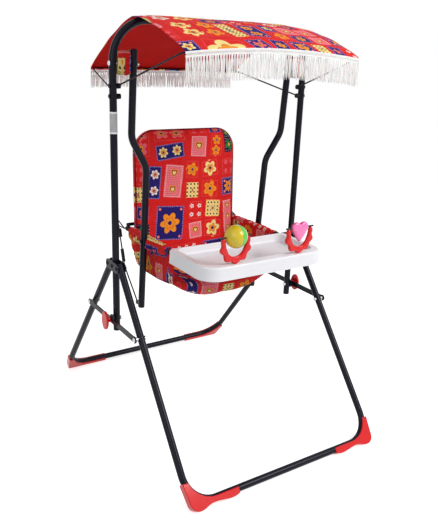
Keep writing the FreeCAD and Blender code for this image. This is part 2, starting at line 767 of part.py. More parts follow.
def hem_strip(side, z, reach, rise, arch, half, height):
    """Fringe that hangs along the hem and follows the bow's arch."""
    y = side * (reach + BOW_R + CLOTH_GAP)
    hem = z + rise
    high = (V(-half, y, hem), V(0, y, hem + arch), V(half, y, hem))
    low = [p.sub(AXIS_Z * height) for p in high]
    edges = [Part.Arc(*high).toShape(), Part.makeLine(high[2], low[2]),
             Part.Arc(low[2], low[1], low[0]).toShape(), Part.makeLine(low[0], high[0])]
    return Part.Face(Part.Wire(edges)).extrude(V(0, side * FRINGE_T, 0))


# Seat


def arm():
    """Right arm tube, with a shallow saddle where it is bolted to the hanger."""
    tube = ring(V(ARM_X, -ARM_FRONT, ARM_Z), V(ARM_X, ARM_REAR, ARM_Z), ARM_R, ARM_R - ARM_WALL)
    return holed(tube, hanger_envelope(RUN), arm_bolt_tool(ARM_BOLT_R + RUN))


def arm_bolts():
    """Bolts that hold the arms to the hangers."""
    y = hanger_y(ARM_Z)
    outer = HANGER_LOW_X + TUBE_R + FACE_GAP
    inner = ARM_X - ARM_R - FACE_GAP
    shank = x_hole(inner - NUT_H, outer, y, ARM_Z, ARM_BOLT_R)
    head = dome(HEAD_R, HEAD_H, V(outer, y, ARM_Z), AXIS_X)
    return both(shank.fuse(head).removeSplitter())


def arm_caps():
    """Black caps on both ends of the arms."""
    rear = end_cap(V(ARM_X, ARM_REAR, ARM_Z), AXIS_Y, ARM_R, ARM_WALL)
    front = end_cap(V(ARM_X, -ARM_FRONT, ARM_Z), AXIS_Y.negative(), ARM_R, ARM_WALL)
    return Part.makeCompound(both(rear).Solids + both(front).Solids)


def arm_collars():
    """Black tapered collars between the arm covers and the tray."""
    start = V(ARM_X, -COVER_FRONT - FACE_GAP, ARM_Z)
    end = start.sub(AXIS_Y * COLLAR_L)
    body = cone(start, end, ARM_R + COLLAR_WALL, ARM_R + COLLAR_TIP_WALL)
    return both(body.cut(rod(start.add(AXIS_Y * OVERRUN), end.sub(AXIS_Y * OVERRUN), ARM_R + RUN)))


def side_cover():
    """Right side of the seat: a sleeve on the arm and a panel down to the seat."""
    outer = ARM_R + COVER_WALL
    front = -COVER_FRONT
    sleeve = rod(V(ARM_X, front, ARM_Z), V(ARM_X, COVER_REAR, ARM_Z), outer)
    face = ARM_X - outer
    corners = [(front, ARM_Z), (SIDE_REAR, ARM_Z), (SIDE_REAR, TRAY_TOP - SIDE_KNEE_DROP),
               (SIDE_REAR_LOW, SIDE_BOTTOM - SIDE_DIP), (0, SIDE_BOTTOM - SIDE_DIP),
               (front, SIDE_BOTTOM)]
    points = [V(face, y, z) for y, z in corners]
    panel = Part.Face(Part.makePolygon(points + [points[0]])).extrude(V(SIDE_T, 0, 0))
    shape = sleeve.fuse(panel).removeSplitter()
    bore = rod(V(ARM_X, front - OVERRUN, ARM_Z), V(ARM_X, SIDE_REAR + OVERRUN, ARM_Z), ARM_R + RUN)
    bolt_room = x_hole(face - OVERRUN, ARM_X, hanger_y(ARM_Z), ARM_Z, ARM_BOLT_R + CLOTH_GAP)
    rod_room = rod(V(0, CROSS_Y, CROSS_Z), V(ARM_X + outer, CROSS_Y, CROSS_Z), CROSS_R + CLOTH_GAP)
    return holed(shape, bore, hanger_envelope(CLOTH_GAP), bolt_room, rod_room)


def cross_rod():
    """Rod behind the seat back that rests on both arms."""
    half = CROSS_HALF
    return ring(V(-half, CROSS_Y, CROSS_Z), V(half, CROSS_Y, CROSS_Z), CROSS_R, CROSS_R - ARM_WALL)


def cross_caps():
    """Black caps on the rod's ends."""
    return both(end_cap(V(CROSS_HALF, CROSS_Y, CROSS_Z), AXIS_X, CROSS_R, ARM_WALL))


def stay_points():
    """Foot, knee and top of the right rear stay."""
    return (V(HANGER_LOW_X, bracket_y(), bracket_z()),
            V(HANGER_LOW_X, STAY_KNEE_Y, TRAY_TOP - STAY_KNEE_DROP),
            V(HANGER_LOW_X, STAY_TOP_Y, TRAY_TOP + STAY_TOP_RISE))


def rear_stay():
    """Right stay: a bent rod with two short links to the arm's rear end, welded."""
    foot, knee, top = stay_points()
    joint = top.sub(top.sub(knee).normalize() * LINK_DROP)
    arm_end = V(HANGER_LOW_X, ARM_REAR - CAP_PLUG, ARM_Z + LINK_RISE)
    shape = swept([foot, knee, top], [STAY_BEND], STAY_R).fuse(Part.makeSphere(WELD_R, top))
    pin = rod(V(ARM_X, arm_end.y, arm_end.z), arm_end, LINK_R)
    eye = x_hole(HANGER_LOW_X - EYE_HALF_T, HANGER_LOW_X + EYE_HALF_T, foot.y, foot.z, EYE_R)
    shape = shape.fuse([rod(arm_end, joint, LINK_R), rod(arm_end, top, LINK_R),
                        Part.makeSphere(WELD_R, arm_end), pin, eye]).removeSplitter()
    hole = x_hole(0, 2 * HANGER_LOW_X, foot.y, foot.z, STAY_R / 2 + RUN)
    arm_room = rod(V(ARM_X, -ARM_FRONT, ARM_Z), V(ARM_X, ARM_REAR, ARM_Z), ARM_R + RUN)
    return holed(shape, hole, arm_room)


def stay_sleeves():
    """Plastic sleeves on the stays, and the knuckles between the two links."""
    foot, knee, top = stay_points()
    along = top.sub(knee).normalize()
    low = knee.add(along * SLEEVE_UP)
    sleeve = ring(low, low.add(along * SLEEVE_L), SLEEVE_R, STAY_R + RUN)
    under = top.sub(along * (LINK_DROP + STAY_R * 2 + KNUCKLE_OVER))
    knuckle = ring(under.sub(along * KNUCKLE_L), under, KNUCKLE_R, STAY_R + RUN)
    return Part.makeCompound(both(sleeve).Solids + both(knuckle).Solids)


def stay_brackets():
    """Forked brackets on the hangers that hold the stays' feet."""
    y, z = bracket_y(), bracket_z()
    width = STAY_R * 2 + 4 * TUBE_WALL
    block = Part.makeBox(width, y + BRACKET_OVER - hanger_y(z), 2 * BRACKET_HALF,
                         V(HANGER_LOW_X - width / 2, hanger_y(z), z - BRACKET_HALF))
    gap = EYE_HALF_T + FACE_GAP
    room = Part.makeBox(2 * gap, 2 * BRACKET_HALF + OVERRUN, 4 * BRACKET_HALF,
                        V(HANGER_LOW_X - gap, y - BRACKET_HALF - FACE_GAP, z - 2 * BRACKET_HALF))
    pin = x_hole(HANGER_LOW_X - width / 2, HANGER_LOW_X + width / 2, y, z, STAY_R / 2)
    shape = holed(block, room, hanger_envelope(0)).fuse(pin).removeSplitter()
    return both(shape)


def back_outline(y, inset):
    """Rounded outline of the seat back at one depth, drawn in by an inset."""
    half = BACK_HALF - inset
    top = BACK_TOP - inset
    low = BACK_BOTTOM + inset
    big = BACK_CORNER - inset / 2
    small = BACK_LOW_CORNER - inset / 2
    k = 1 - math.sqrt(0.5)
    edges = []
    for s in (1, -1):
        arcs = [((s * half, low + small), (s * (half - small * k), low + small * k),
                 (s * (half - small), low)),
                ((s * (half - big), top), (s * (half - big * k), top - big * k),
                 (s * half, top - big))]
        for arc in arcs:
            edges.append(Part.Arc(*[V(x, y, z) for x, z in arc]).toShape())
        edges.append(Part.makeLine(V(s * half, y, low + small), V(s * half, y, top - big)))
    edges.append(Part.makeLine(V(-half + small, y, low), V(half - small, y, low)))
    edges.append(Part.makeLine(V(-half + big, y, top), V(half - big, y, top)))
    return Part.Wire(Part.__sortEdges__(edges))


def seat_back():
    """Padded seat back with a crowned front and drawn-in edges."""
    front = BACK_REAR - BACK_T
    side = BACK_REAR - BACK_EDGE_REAR
    depths = [(BACK_REAR, BACK_INSET_REAR), (side, 0), (side - BACK_EDGE, 0),
              (front, BACK_INSET_FRONT)]
    layers = [Part.makeLoft([back_outline(*a), back_outline(*b)], True, True)
              for a, b in zip(depths, depths[1:])]
    shape = layers[0].fuse(layers[1:]).removeSplitter()
    shape.rotate(V(0, BACK_REAR, CROSS_Z), AXIS_X, -BACK_LEAN)
    return shape


def pan_section(y, sag, thick):
    """Closed outline of the hanging seat at one depth."""
    edge = PAN_EDGE_Z
    high = edge + PAN_EDGE_T
    nose = PAN_HALF + PAN_EDGE_T / 4
    middle = (edge + high) / 2
    low_mid = edge - sag
    edges = [Part.Arc(V(-PAN_HALF, y, edge), V(0, y, low_mid), V(PAN_HALF, y, edge)).toShape(),
             Part.Arc(V(PAN_HALF, y, edge), V(nose, y, middle), V(PAN_HALF, y, high)).toShape(),
             Part.Arc(V(PAN_HALF, y, high), V(0, y, low_mid + thick), V(-PAN_HALF, y, high)).toShape(),
             Part.Arc(V(-PAN_HALF, y, high), V(-nose, y, middle), V(-PAN_HALF, y, edge)).toShape()]
    return Part.Wire(edges)


def seat_pan():
    """Padded seat that hangs like a sling between the sides."""
    lean = math.radians(BACK_LEAN)
    rear = BACK_REAR - BACK_T / math.cos(lean) - (CROSS_Z - BACK_BOTTOM) * math.tan(lean) - CLOTH_GAP
    middle = (rear - PAN_FRONT) / 2
    nose = PAN_EDGE_T / 2
    sections = [pan_section(rear, PAN_SAG_REAR, PAN_T), pan_section(middle, PAN_SAG_MIDDLE, PAN_T),
                pan_section(-PAN_FRONT + nose, PAN_SAG_FRONT, PAN_T),
                pan_section(-PAN_FRONT, PAN_SAG_FRONT - nose, PAN_T - 2 * nose)]
    return Part.makeLoft(sections, True, False)


# Tray and toys


def tray_outline(inset, z):
    """Outline of the tray, drawn in by an inset: two wide front corners, two small back ones."""
    half = TRAY_HALF - inset
    front = -TRAY_FRONT + inset
    back = -TRAY_BACK - inset
    wide = TRAY_CORNER - inset
    small = TRAY_BACK_CORNER - inset
    return rounded_outline(half, front, back, wide, small, z)


def rounded_outline(half, front, back, wide, small, z):
    """Rectangle with round corners, mirror-symmetrical about the middle."""
    k = 1 - math.sqrt(0.5)
    edges = []
    for s in (1, -1):
        arcs = [((s * half, front + wide), (s * (half - wide * k), front + wide * k),
                 (s * (half - wide), front)),
                ((s * (half - small), back), (s * (half - small * k), back - small * k),
                 (s * half, back - small))]
        for arc in arcs:
            edges.append(Part.Arc(*[V(x, y, z) for x, y in arc]).toShape())
        edges.append(Part.makeLine(V(s * half, front + wide, z), V(s * half, back - small, z)))
    edges.append(Part.makeLine(V(wide - half, front, z), V(half - wide, front, z)))
    edges.append(Part.makeLine(V(small - half, back, z), V(half - small, back, z)))
    return Part.Wire(Part.__sortEdges__(edges))


def recess_block(grow, top, bottom):
    """The tray's recess as a solid, grown sideways to give the outside of its walls."""
    half = TRAY_HALF - LEDGE_SIDE + grow
    front = -TRAY_FRONT + LEDGE_FRONT - grow
    back = -TRAY_BACK - LEDGE_BACK + grow
    corner = RECESS_CORNER + grow
    outline = rounded_outline(half, front, back, corner, corner, bottom)
    return Part.Face(outline).extrude(V(0, 0, top - bottom))


def tray():
    """White tray: a lip all round, a ledge over the arms and a sunk floor."""
    bottom = TRAY_TOP - TRAY_LIP
    floor = TRAY_TOP - RECESS_DEPTH
    outside = Part.Face(tray_outline(0, bottom)).extrude(V(0, 0, TRAY_LIP))
    top_edges = [e for e in outside.Edges
                 if all(abs(v.Z - TRAY_TOP) < RUN for v in e.Vertexes)]
    outside = outside.makeFillet(TRAY_EDGE, top_edges)
    inside = Part.Face(tray_outline(TRAY_WALL, bottom - OVERRUN)).extrude(
        V(0, 0, TRAY_LIP + OVERRUN - TRAY_WALL))
    shell = outside.cut(inside)
    basin = recess_block(0, TRAY_TOP - TRAY_WALL / 2, floor - TRAY_WALL)
    shell = shell.fuse(basin).cut(recess_block(-TRAY_WALL, TRAY_TOP + OVERRUN, floor))
    passages = []
    for s in (-1, 1):
        passages.append(rod(V(s * ARM_X, -TRAY_BACK + OVERRUN, ARM_Z),
                            V(s * ARM_X, -TRAY_BACK - TRAY_BACK_CORNER, ARM_Z), ARM_R + FACE_GAP))
        passages.append(Part.makeBox(2 * (ARM_R + FACE_GAP), 2 * TRAY_WALL + OVERRUN, TRAY_LIP,
                                     V(s * ARM_X - ARM_R - FACE_GAP, -TRAY_BACK - 2 * TRAY_WALL,
                                       ARM_Z - TRAY_LIP)))
        passages.append(rod(V(s * TOY_X, toy_y(), TRAY_TOP - PEG_L - OVERRUN),
                            V(s * TOY_X, toy_y(), TRAY_TOP + OVERRUN), PEG_R + RUN))
    return holed(shell, *passages).removeSplitter()


def toy_y():
    """Fore and aft place of the rings' middle plane."""
    return -TRAY_FRONT + TOY_BACK


def ring_centre_z():
    """Height of the middle of the rings' round part."""
    return TRAY_TOP + FACE_GAP + RING_OUT + LOBE_OUT


def axle_z():
    """Height of the toys' axles."""
    return ring_centre_z() + RING_ARM - AXLE_R * 2


def toy_ring(x):
    """Red ring, open at the top, with lobes round its outer edge and a peg below."""
    y = toy_y() - RING_T / 2
    z = ring_centre_z()
    thick = V(0, RING_T, 0)
    disc = Part.makeCylinder(RING_OUT, RING_T, V(x, y, z), AXIS_Y)
    arms = Part.makeBox(2 * RING_OUT, RING_T, RING_ARM, V(x - RING_OUT, y, z))
    shape = disc.fuse(arms)
    for i in range(RING_LOBES):
        turn = math.radians((i - (RING_LOBES - 1) / 2) * LOBE_STEP) - math.pi / 2
        reach = RING_OUT + LOBE_OUT - LOBE_R
        centre = V(x + reach * math.cos(turn), y, z + reach * math.sin(turn))
        shape = shape.fuse(Part.makeCylinder(LOBE_R, RING_T, centre, AXIS_Y))
    hole = Part.makeCylinder(RING_IN, RING_T + 2 * OVERRUN, V(x, y - OVERRUN, z), AXIS_Y)
    gap = Part.makeBox(2 * RING_IN, RING_T + 2 * OVERRUN, 2 * RING_OUT, V(x - RING_IN, y - OVERRUN, z))
    shape = holed(shape, hole, gap).removeSplitter()
    peg = rod(V(x, toy_y(), TRAY_TOP - PEG_L), V(x, toy_y(), TRAY_TOP + LOBE_R), PEG_R)
    shape = shape.fuse(peg).removeSplitter()
    over = RING_OUT + OVERRUN
    return shape.cut(x_hole(x - over, x + over, toy_y(), axle_z(), AXLE_R + RUN))


def toy_axle(x):
    """Steel pin across the ring's two arms."""
    half = RING_OUT + AXLE_OVER
    return x_hole(x - half, x + half, toy_y(), axle_z(), AXLE_R)


def ball():
    """Spinning ball on the left axle."""
    centre = V(-TOY_X, toy_y(), axle_z())
    bore = AXLE_R + RUN
    half = math.sqrt(BALL_R ** 2 - bore ** 2)
    left, right = centre + V(-half, 0, bore), centre + V(half, 0, bore)
    arc = Part.Arc(left, centre + V(0, 0, BALL_R), right).toShape()
    profile = Part.Face(Part.Wire([arc, Part.makeLine(right, left)]))
    return profile.revolve(centre, AXIS_X, 360)


def heart_outline(y, share):
    """Outline of the heart at one depth, drawn in towards its middle by a share."""
    lobe = HEART_HALF / 2
    top = HEART_UP
    waist = top - lobe
    tip = -HEART_DOWN
    arcs = []
    for s in (1, -1):
        cleft = (0, top - HEART_CLEFT)
        high = (s * lobe, top)
        out = (s * HEART_HALF, waist)
        inner = (s * lobe * INNER_SHARE, top - HEART_CLEFT * (1 - INNER_SHARE) / 2)
        shoulder = (s * HEART_HALF * SHOULDER_SHARE, waist + lobe * SHOULDER_SHARE / 2 + lobe / 6)
        flank = (s * HEART_HALF * FLANK_SHARE, waist + (tip - waist) / 2)
        for arc in ((cleft, inner, high), (high, shoulder, out), (out, flank, (0, tip))):
            points = [V(TOY_X + x * share, y, axle_z() + z * share) for x, z in arc]
            arcs.append(Part.Arc(*points).toShape())
    return Part.Wire(Part.__sortEdges__(arcs))


def heart():
    """Spinning heart on the right axle."""
    front = toy_y() - HEART_T / 2
    rear = toy_y() + HEART_T / 2
    depths = [(front, HEART_FACE_SHARE), (front + HEART_EDGE, 1), (rear - HEART_EDGE, 1),
              (rear, HEART_FACE_SHARE)]
    layers = [Part.makeLoft([heart_outline(*a), heart_outline(*b)], True, True)
              for a, b in zip(depths, depths[1:])]
    solid = layers[0].fuse(layers[1:]).removeSplitter()
    return solid.cut(x_hole(TOY_X - RING_OUT, TOY_X + RING_OUT, toy_y(), axle_z(), AXLE_R + RUN))


FRONT = dict(side=-1, z=FRONT_BOW_Z, reach=FRONT_BOW_REACH, rise=FRONT_BOW_RISE, arch=FRONT_BOW_ARCH)
BACK = dict(side=1, z=BACK_BOW_Z, reach=BACK_BOW_REACH, rise=BACK_BOW_RISE, arch=BACK_BOW_ARCH)


def build():
    """Every node of the swing, by name."""
    plate_in = HALF_WIDTH - TUBE_R - FACE_GAP - PLATE
    plate_out = POST_FACE + FACE_GAP
    nodes = {
        "post_right": half_arch(), "post_left": mirrored(half_arch()),
        "ridge_joiner": ridge_joiner(), "post_caps": post_caps(), "blank_label": label(),
        "hub_bolts": hub_bolts(), "pivot_bolts": pivot_bolts(),
        "hub_plates": Part.makeCompound([s for face in (plate_in, plate_out)
                                         for s in both(hub_plate(face)).Solids]),
        "pivot_guards": both(pivot_guard()), "bow_bolts": bow_bolts(),
        "foot_clips": foot_clip(), "knob_bolts": knob_bolt(),
        "knob_right": knob(), "knob_left": mirrored(knob()),
        "brace_right": brace(), "brace_left": mirrored(brace()),
        "hanger_right": hanger(), "hanger_left": mirrored(hanger()),
        "hanger_caps": hanger_caps(),
        "arm_right": arm(), "arm_left": mirrored(arm()), "arm_bolts": arm_bolts(),
        "arm_caps": arm_caps(),
        "arm_collars": arm_collars(), "cross_rod": cross_rod(), "cross_rod_caps": cross_caps(),
        "rear_stays": both(rear_stay()),
        "stay_sleeves": stay_sleeves(), "stay_brackets": stay_brackets(),
        "side_cover_right": side_cover(), "side_cover_left": mirrored(side_cover()),
        "seat_back": seat_back(), "seat_pan": seat_pan(), "tray": tray(),
        "ball_ring": toy_ring(-TOY_X), "heart_ring": toy_ring(TOY_X),
        "toy_axles": Part.makeCompound([toy_axle(-TOY_X), toy_axle(TOY_X)]),
        "spin_ball": ball(), "spin_heart": heart(),
    }
    for name, reach in (("front", -LEG_REACH), ("back", LEG_REACH)):
        nodes[name + "_leg_frame"] = leg_frame(reach)
        nodes[name + "_shoe_right"] = corner_shoe(reach)
        nodes[name + "_shoe_left"] = mirrored(corner_shoe(reach))
        nodes[name + "_leg_caps"] = leg_caps(reach)
        nodes[name + "_shoe_screws"] = shoe_screws(reach)
        nodes[name + "_brace_studs"] = brace_stud(reach)
    for name, half, inset, fringe, place in (
            ("front", CLOTH_HALF, FRONT_BOW_IN, FRONT_FRINGE, FRONT),
            ("back", BACK_CLOTH_HALF, BACK_BOW_IN, BACK_FRINGE, BACK)):
        nodes["canopy_" + name] = canopy_cloth(half=half, **place)
        nodes[name + "_bow"] = bow(half=half - inset, **place)
        nodes[name + "_fringe"] = hem_strip(half=half, height=fringe, **place)
    return nodes


def main():
    """Write every node as a STEP file."""
    os.makedirs("parts", exist_ok=True)
    for name, shape in build().items():
        shape.exportStep("parts/" + name + ".step")
        print(name, len(shape.Solids), shape.isValid(), round(shape.Volume / 1000, 1))


if __name__ == "__main__":
    main()
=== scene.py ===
"""Looks of a child's garden swing: folding stand, fringed canopy, padded seat and play tray.

Metres. X runs from side to side, the child faces -Y and +Z is up, as in the fixed frame. Each
sub-assembly is a class that holds its sizes and builds its surfaces with numpy, and each finish
is a frozen dataclass that makes its own procedural material.
"""
import json
import logging
import math
from dataclasses import dataclass
from enum import Enum
from typing import Sequence

import bmesh
import bpy
import numpy as np
from mathutils import Matrix, Vector
from mathutils.bvhtree import BVHTree


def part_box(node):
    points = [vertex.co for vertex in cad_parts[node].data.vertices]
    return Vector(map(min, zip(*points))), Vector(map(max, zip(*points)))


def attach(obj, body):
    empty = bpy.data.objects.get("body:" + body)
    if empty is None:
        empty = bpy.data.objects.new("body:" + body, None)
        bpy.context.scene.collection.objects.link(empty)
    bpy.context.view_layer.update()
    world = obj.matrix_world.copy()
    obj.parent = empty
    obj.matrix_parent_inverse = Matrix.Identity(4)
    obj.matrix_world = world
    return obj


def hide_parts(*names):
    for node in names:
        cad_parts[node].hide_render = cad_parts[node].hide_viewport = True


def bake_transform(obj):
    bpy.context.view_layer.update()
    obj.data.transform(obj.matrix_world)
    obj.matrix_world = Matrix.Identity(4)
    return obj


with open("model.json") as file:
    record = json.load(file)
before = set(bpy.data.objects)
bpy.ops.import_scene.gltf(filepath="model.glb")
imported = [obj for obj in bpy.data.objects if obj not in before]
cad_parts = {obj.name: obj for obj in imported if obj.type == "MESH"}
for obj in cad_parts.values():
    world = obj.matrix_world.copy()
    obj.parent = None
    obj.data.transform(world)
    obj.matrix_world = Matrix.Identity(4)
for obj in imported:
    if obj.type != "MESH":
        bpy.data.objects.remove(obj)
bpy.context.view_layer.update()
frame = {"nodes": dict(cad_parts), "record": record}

log = logging.getLogger("garden_swing")

Colour = tuple[float, float, float]
Number = "Term | float"
Source = "Term | bpy.types.NodeSocket | Colour | float"


class Side(Enum):
    """Front or back of the stand, as the sign of Y."""

    FRONT = -1
    BACK = 1

    @property
    def word(self) -> str:
        """The side's name in the names of pieces."""
        return self.name.lower()


class Hand(Enum):
    """Right or left of the swing, as the sign of X."""

    RIGHT = 1
    LEFT = -1

    @property
    def word(self) -> str:
        """The hand's name in the names of pieces."""
        return self.name.lower()


class Motif(Enum):
    """What a patch of the print shows, with the share of patches up to which it is chosen."""

    NAVY_PANEL = 0.30
    PINK_TILE = 0.48
    CHECKED_FRAME = 0.62
    DARK_CLOVER = 0.66
    BIG_FLOWER = 0.86
    SMALL_FLOWERS = 1.01


# Shader arithmetic


def feed(tree: bpy.types.NodeTree, slot: bpy.types.NodeSocket, value: Source) -> None:
    """Give a node's input a term, another node's output, a colour or a number.

    Args:
        tree: the node tree.
        slot: the input.
        value: what it takes. A term or an output is linked to it.
    """
    if isinstance(value, Term):
        value = value.socket
    if isinstance(value, bpy.types.NodeSocket):
        tree.links.new(value, slot)
    elif isinstance(value, tuple):
        slot.default_value = (*value, 1.0)
    else:
        slot.default_value = value


class Term:
    """A number that varies over a surface, worked out by shader nodes.

    Sums, products and comparisons of terms add the nodes for them, so that a pattern is
    written as a formula. A comparison gives 1 where it holds and 0 elsewhere.
    """

    def __init__(self, tree: bpy.types.NodeTree, socket: bpy.types.NodeSocket) -> None:
        """Wrap an output socket of a node tree."""
        self.tree = tree
        self.socket = socket

    def work(self, operation: str, *others: Number) -> "Term":
        """Add one Math node.

        Args:
            operation: the node's operation.
            others: its further inputs, terms or plain numbers.

        Returns:
            The node's result.
        """
        node = self.tree.nodes.new("ShaderNodeMath")
        node.operation = operation
        for slot, value in zip(node.inputs, (self, *others)):
            feed(self.tree, slot, value)
        return Term(self.tree, node.outputs[0])

    def __add__(self, other: Number) -> "Term":
        """Sum."""
        return self.work("ADD", other)

    def __sub__(self, other: Number) -> "Term":
        """Difference."""
        return self.work("SUBTRACT", other)

    def __mul__(self, other: Number) -> "Term":
        """Product."""
        return self.work("MULTIPLY", other)

    def __truediv__(self, other: Number) -> "Term":
        """Quotient."""
        return self.work("DIVIDE", other)

    def __lt__(self, other: Number) -> "Term":
        """1 where this is less than the other."""
        return self.work("LESS_THAN", other)

    def __gt__(self, other: Number) -> "Term":
        """1 where this is more than the other."""
        return self.work("GREATER_THAN", other)

    def __abs__(self) -> "Term":
        """Size without its sign."""
        return self.work("ABSOLUTE")

    def floor(self) -> "Term":
        """Whole part."""
        return self.work("FLOOR")

    def rest(self) -> "Term":
        """What is left over the whole part."""
        return self.work("FRACT")

    def wave(self) -> "Term":
        """Sine of an angle."""
        return self.work("SINE")

    def root(self) -> "Term":
        """Square root."""
        return self.work("SQRT")

    def larger(self, other: Number) -> "Term":
        """The larger of two."""
        return self.work("MAXIMUM", other)

    def smaller(self, other: Number) -> "Term":
        """The smaller of two."""
        return self.work("MINIMUM", other)

    def between(self, low: Number, high: Number) -> "Term":
        """1 where this lies between two values."""
        return (self > low) * (self < high)


@dataclass
class Surface:
    """One material under construction: its node tree, its shader and its coordinates."""

    material: bpy.types.Material
    tree: bpy.types.NodeTree
    shader: bpy.types.Node

    @classmethod
    def start(cls, name: str, **constants: float | tuple) -> "Surface":
        """Make a material with a Principled shader.

        Args:
            name: the material's name.
            constants: the shader's own sockets that are the same all over, with _ for a space.

        Returns:
            The surface, ready for its pattern.
        """
        material = bpy.data.materials.new(name)
        material.use_nodes = True
        tree = material.node_tree
        shader = tree.nodes["Principled BSDF"]
        for socket, value in constants.items():
            shader.inputs[socket.replace("_", " ")].default_value = value
        return cls(material, tree, shader)

    def node(self, kind: str, **settings: object) -> bpy.types.Node:
        """Add a node and set its properties."""
        made = self.tree.nodes.new(kind)
        for key, value in settings.items():
            setattr(made, key, value)
        return made

    def link(self, source: Source, target: bpy.types.NodeSocket) -> None:
        """Feed an input of one of the surface's nodes."""
        feed(self.tree, target, source)

    def object_point(self) -> bpy.types.NodeSocket:
        """Object coordinates, in metres of the fixed frame."""
        return self.node("ShaderNodeTexCoord").outputs["Object"]

    def axes(self, vector: bpy.types.NodeSocket) -> tuple[Term, Term, Term]:
        """Split a vector into its three numbers."""
        split = self.node("ShaderNodeSeparateXYZ")
        self.link(vector, split.inputs[0])
        return tuple(Term(self.tree, out) for out in split.outputs)

    def cloth_point(self) -> tuple[Term, Term]:
        """The piece's UV map, in metres along the cloth."""
        uv = self.node("ShaderNodeUVMap", uv_map="cloth")
        return self.axes(uv.outputs[0])[:2]

    def vector(self, x: Number, y: Number, z: Number) -> bpy.types.NodeSocket:
        """Put three numbers together."""
        join = self.node("ShaderNodeCombineXYZ")
        for slot, value in zip(join.inputs, (x, y, z)):
            self.link(value, slot)
        return join.outputs[0]

    def noise(self, vector: bpy.types.NodeSocket, size: float, detail: float = 3.0) -> Term:
        """Smooth noise with blots of a size in metres.

        Args:
            vector: where it is read.
            size: width of a blot.
            detail: octaves of finer noise.

        Returns:
            A number from 0 to 1.
        """
        node = self.node("ShaderNodeTexNoise")
        node.inputs["Scale"].default_value = 1 / size
        node.inputs["Detail"].default_value = detail
        self.link(vector, node.inputs["Vector"])
        return Term(self.tree, node.outputs["Fac"])

    def chance(self, x: Number, y: Number, seed: float) -> tuple[Term, Term, Term]:
        """Three numbers from 0 to 1 that are the same all over one cell.

        Args:
            x: the cell's column.
            y: the cell's row.
            seed: tells one draw from another.

        Returns:
            The three draws.
        """
        node = self.node("ShaderNodeTexWhiteNoise", noise_dimensions="3D")
        self.link(self.vector(x, y, seed), node.inputs["Vector"])
        return self.axes(node.outputs["Color"])

    def mix(self, way: str, share: Number, first: Source, second: Source) -> bpy.types.NodeSocket:
        """Mix two colours.

        Args:
            way: the node's way of mixing.
            share: how much of the mix is taken instead of the first colour.
            first: the colour below.
            second: the colour above.

        Returns:
            The mixed colour.
        """
        node = self.node("ShaderNodeMix", data_type="RGBA", blend_type=way)
        for slot, value in ((0, share), (6, first), (7, second)):
            self.link(value, node.inputs[slot])
        return node.outputs[2]

    def over(self, under: "Colour | bpy.types.NodeSocket", mask: Term,
             top: "Colour | bpy.types.NodeSocket") -> bpy.types.NodeSocket:
        """Lay one colour over another where a mask is 1.

        Args:
            under: the colour that stays where the mask is 0.
            mask: where the top colour shows.
            top: the colour laid over.

        Returns:
            The mixed colour.
        """
        return self.mix("MIX", mask, under, top)

    def shade(self, colour: "Colour | bpy.types.NodeSocket", level: Term) -> bpy.types.NodeSocket:
        """Multiply a colour by a number."""
        return self.mix("MULTIPLY", 1.0, colour, self.vector(level, level, level))

    def finish(self, colour: bpy.types.NodeSocket, roughness: Term | None = None,
               height: Term | None = None, depth: float = 0.0) -> bpy.types.Material:
        """Link the pattern to the shader.

        Args:
            colour: base colour.
            roughness: roughness where it varies.
            height: relief from 0 to 1, where there is one.
            depth: real height of that relief.

        Returns:
            The finished material.
        """
        self.link(colour, self.shader.inputs["Base Color"])
        if roughness is not None:
            self.link(roughness, self.shader.inputs["Roughness"])
        if height is not None:
            bump = self.node("ShaderNodeBump")
            bump.inputs["Distance"].default_value = depth
            self.link(height, bump.inputs["Height"])
            self.link(bump.outputs[0], self.shader.inputs["Normal"])
        return self.material


# Finishes


@dataclass(frozen=True)
class Enamel:
    """Baked gloss enamel on steel tube, with a faint orange peel."""

    name: str
    colour: Colour
    roughness: float = 0.22
    peel: float = 0.004
    peel_depth: float = 0.00006

    def material(self) -> bpy.types.Material:
        """Make the material."""
        s = Surface.start(self.name, Coat_Weight=0.07, Coat_Roughness=0.08, Specular_IOR_Level=0.1)
        where = s.object_point()
        cloud = s.noise(where, 0.05)
        fine = s.noise(where, self.peel, 2.0)
        return s.finish(s.shade(self.colour, cloud * 0.5 + 0.75), cloud * 0.1 + self.roughness - 0.05,
                        fine, self.peel_depth)


@dataclass(frozen=True)
class Plated:
    """Bright zinc plating on small hardware."""

    name: str
    colour: Colour = (0.62, 0.62, 0.64)

    def material(self) -> bpy.types.Material:
        """Make the material."""
        s = Surface.start(self.name, Metallic=1.0)
        where = s.object_point()
        cloud = s.noise(where, 0.006)
        return s.finish(s.shade(self.colour, cloud * 0.3 + 0.8), cloud * 0.2 + 0.22,
                        s.noise(where, 0.0008, 1.0), 0.00003)


@dataclass(frozen=True)
class Moulded:
    """Moulded plastic with faint flow marks."""

    name: str
    colour: Colour
    roughness: float = 0.22
    coat: float = 0.3
    through: float = 0.0
    cloud: float = 0.02
    shine: float = 0.35

    def material(self) -> bpy.types.Material:
        """Make the material."""
        s = Surface.start(self.name, Coat_Weight=self.coat, Coat_Roughness=0.08,
                          Specular_IOR_Level=self.shine, Subsurface_Weight=self.through,
                          Subsurface_Scale=0.004)
        where = s.object_point()
        cloud = s.noise(where, self.cloud)
        fine = s.noise(where, 0.0015, 2.0)
        return s.finish(s.shade(self.colour, cloud * 0.14 + 0.93), fine * 0.08 + self.roughness,
                        fine, 0.00002)


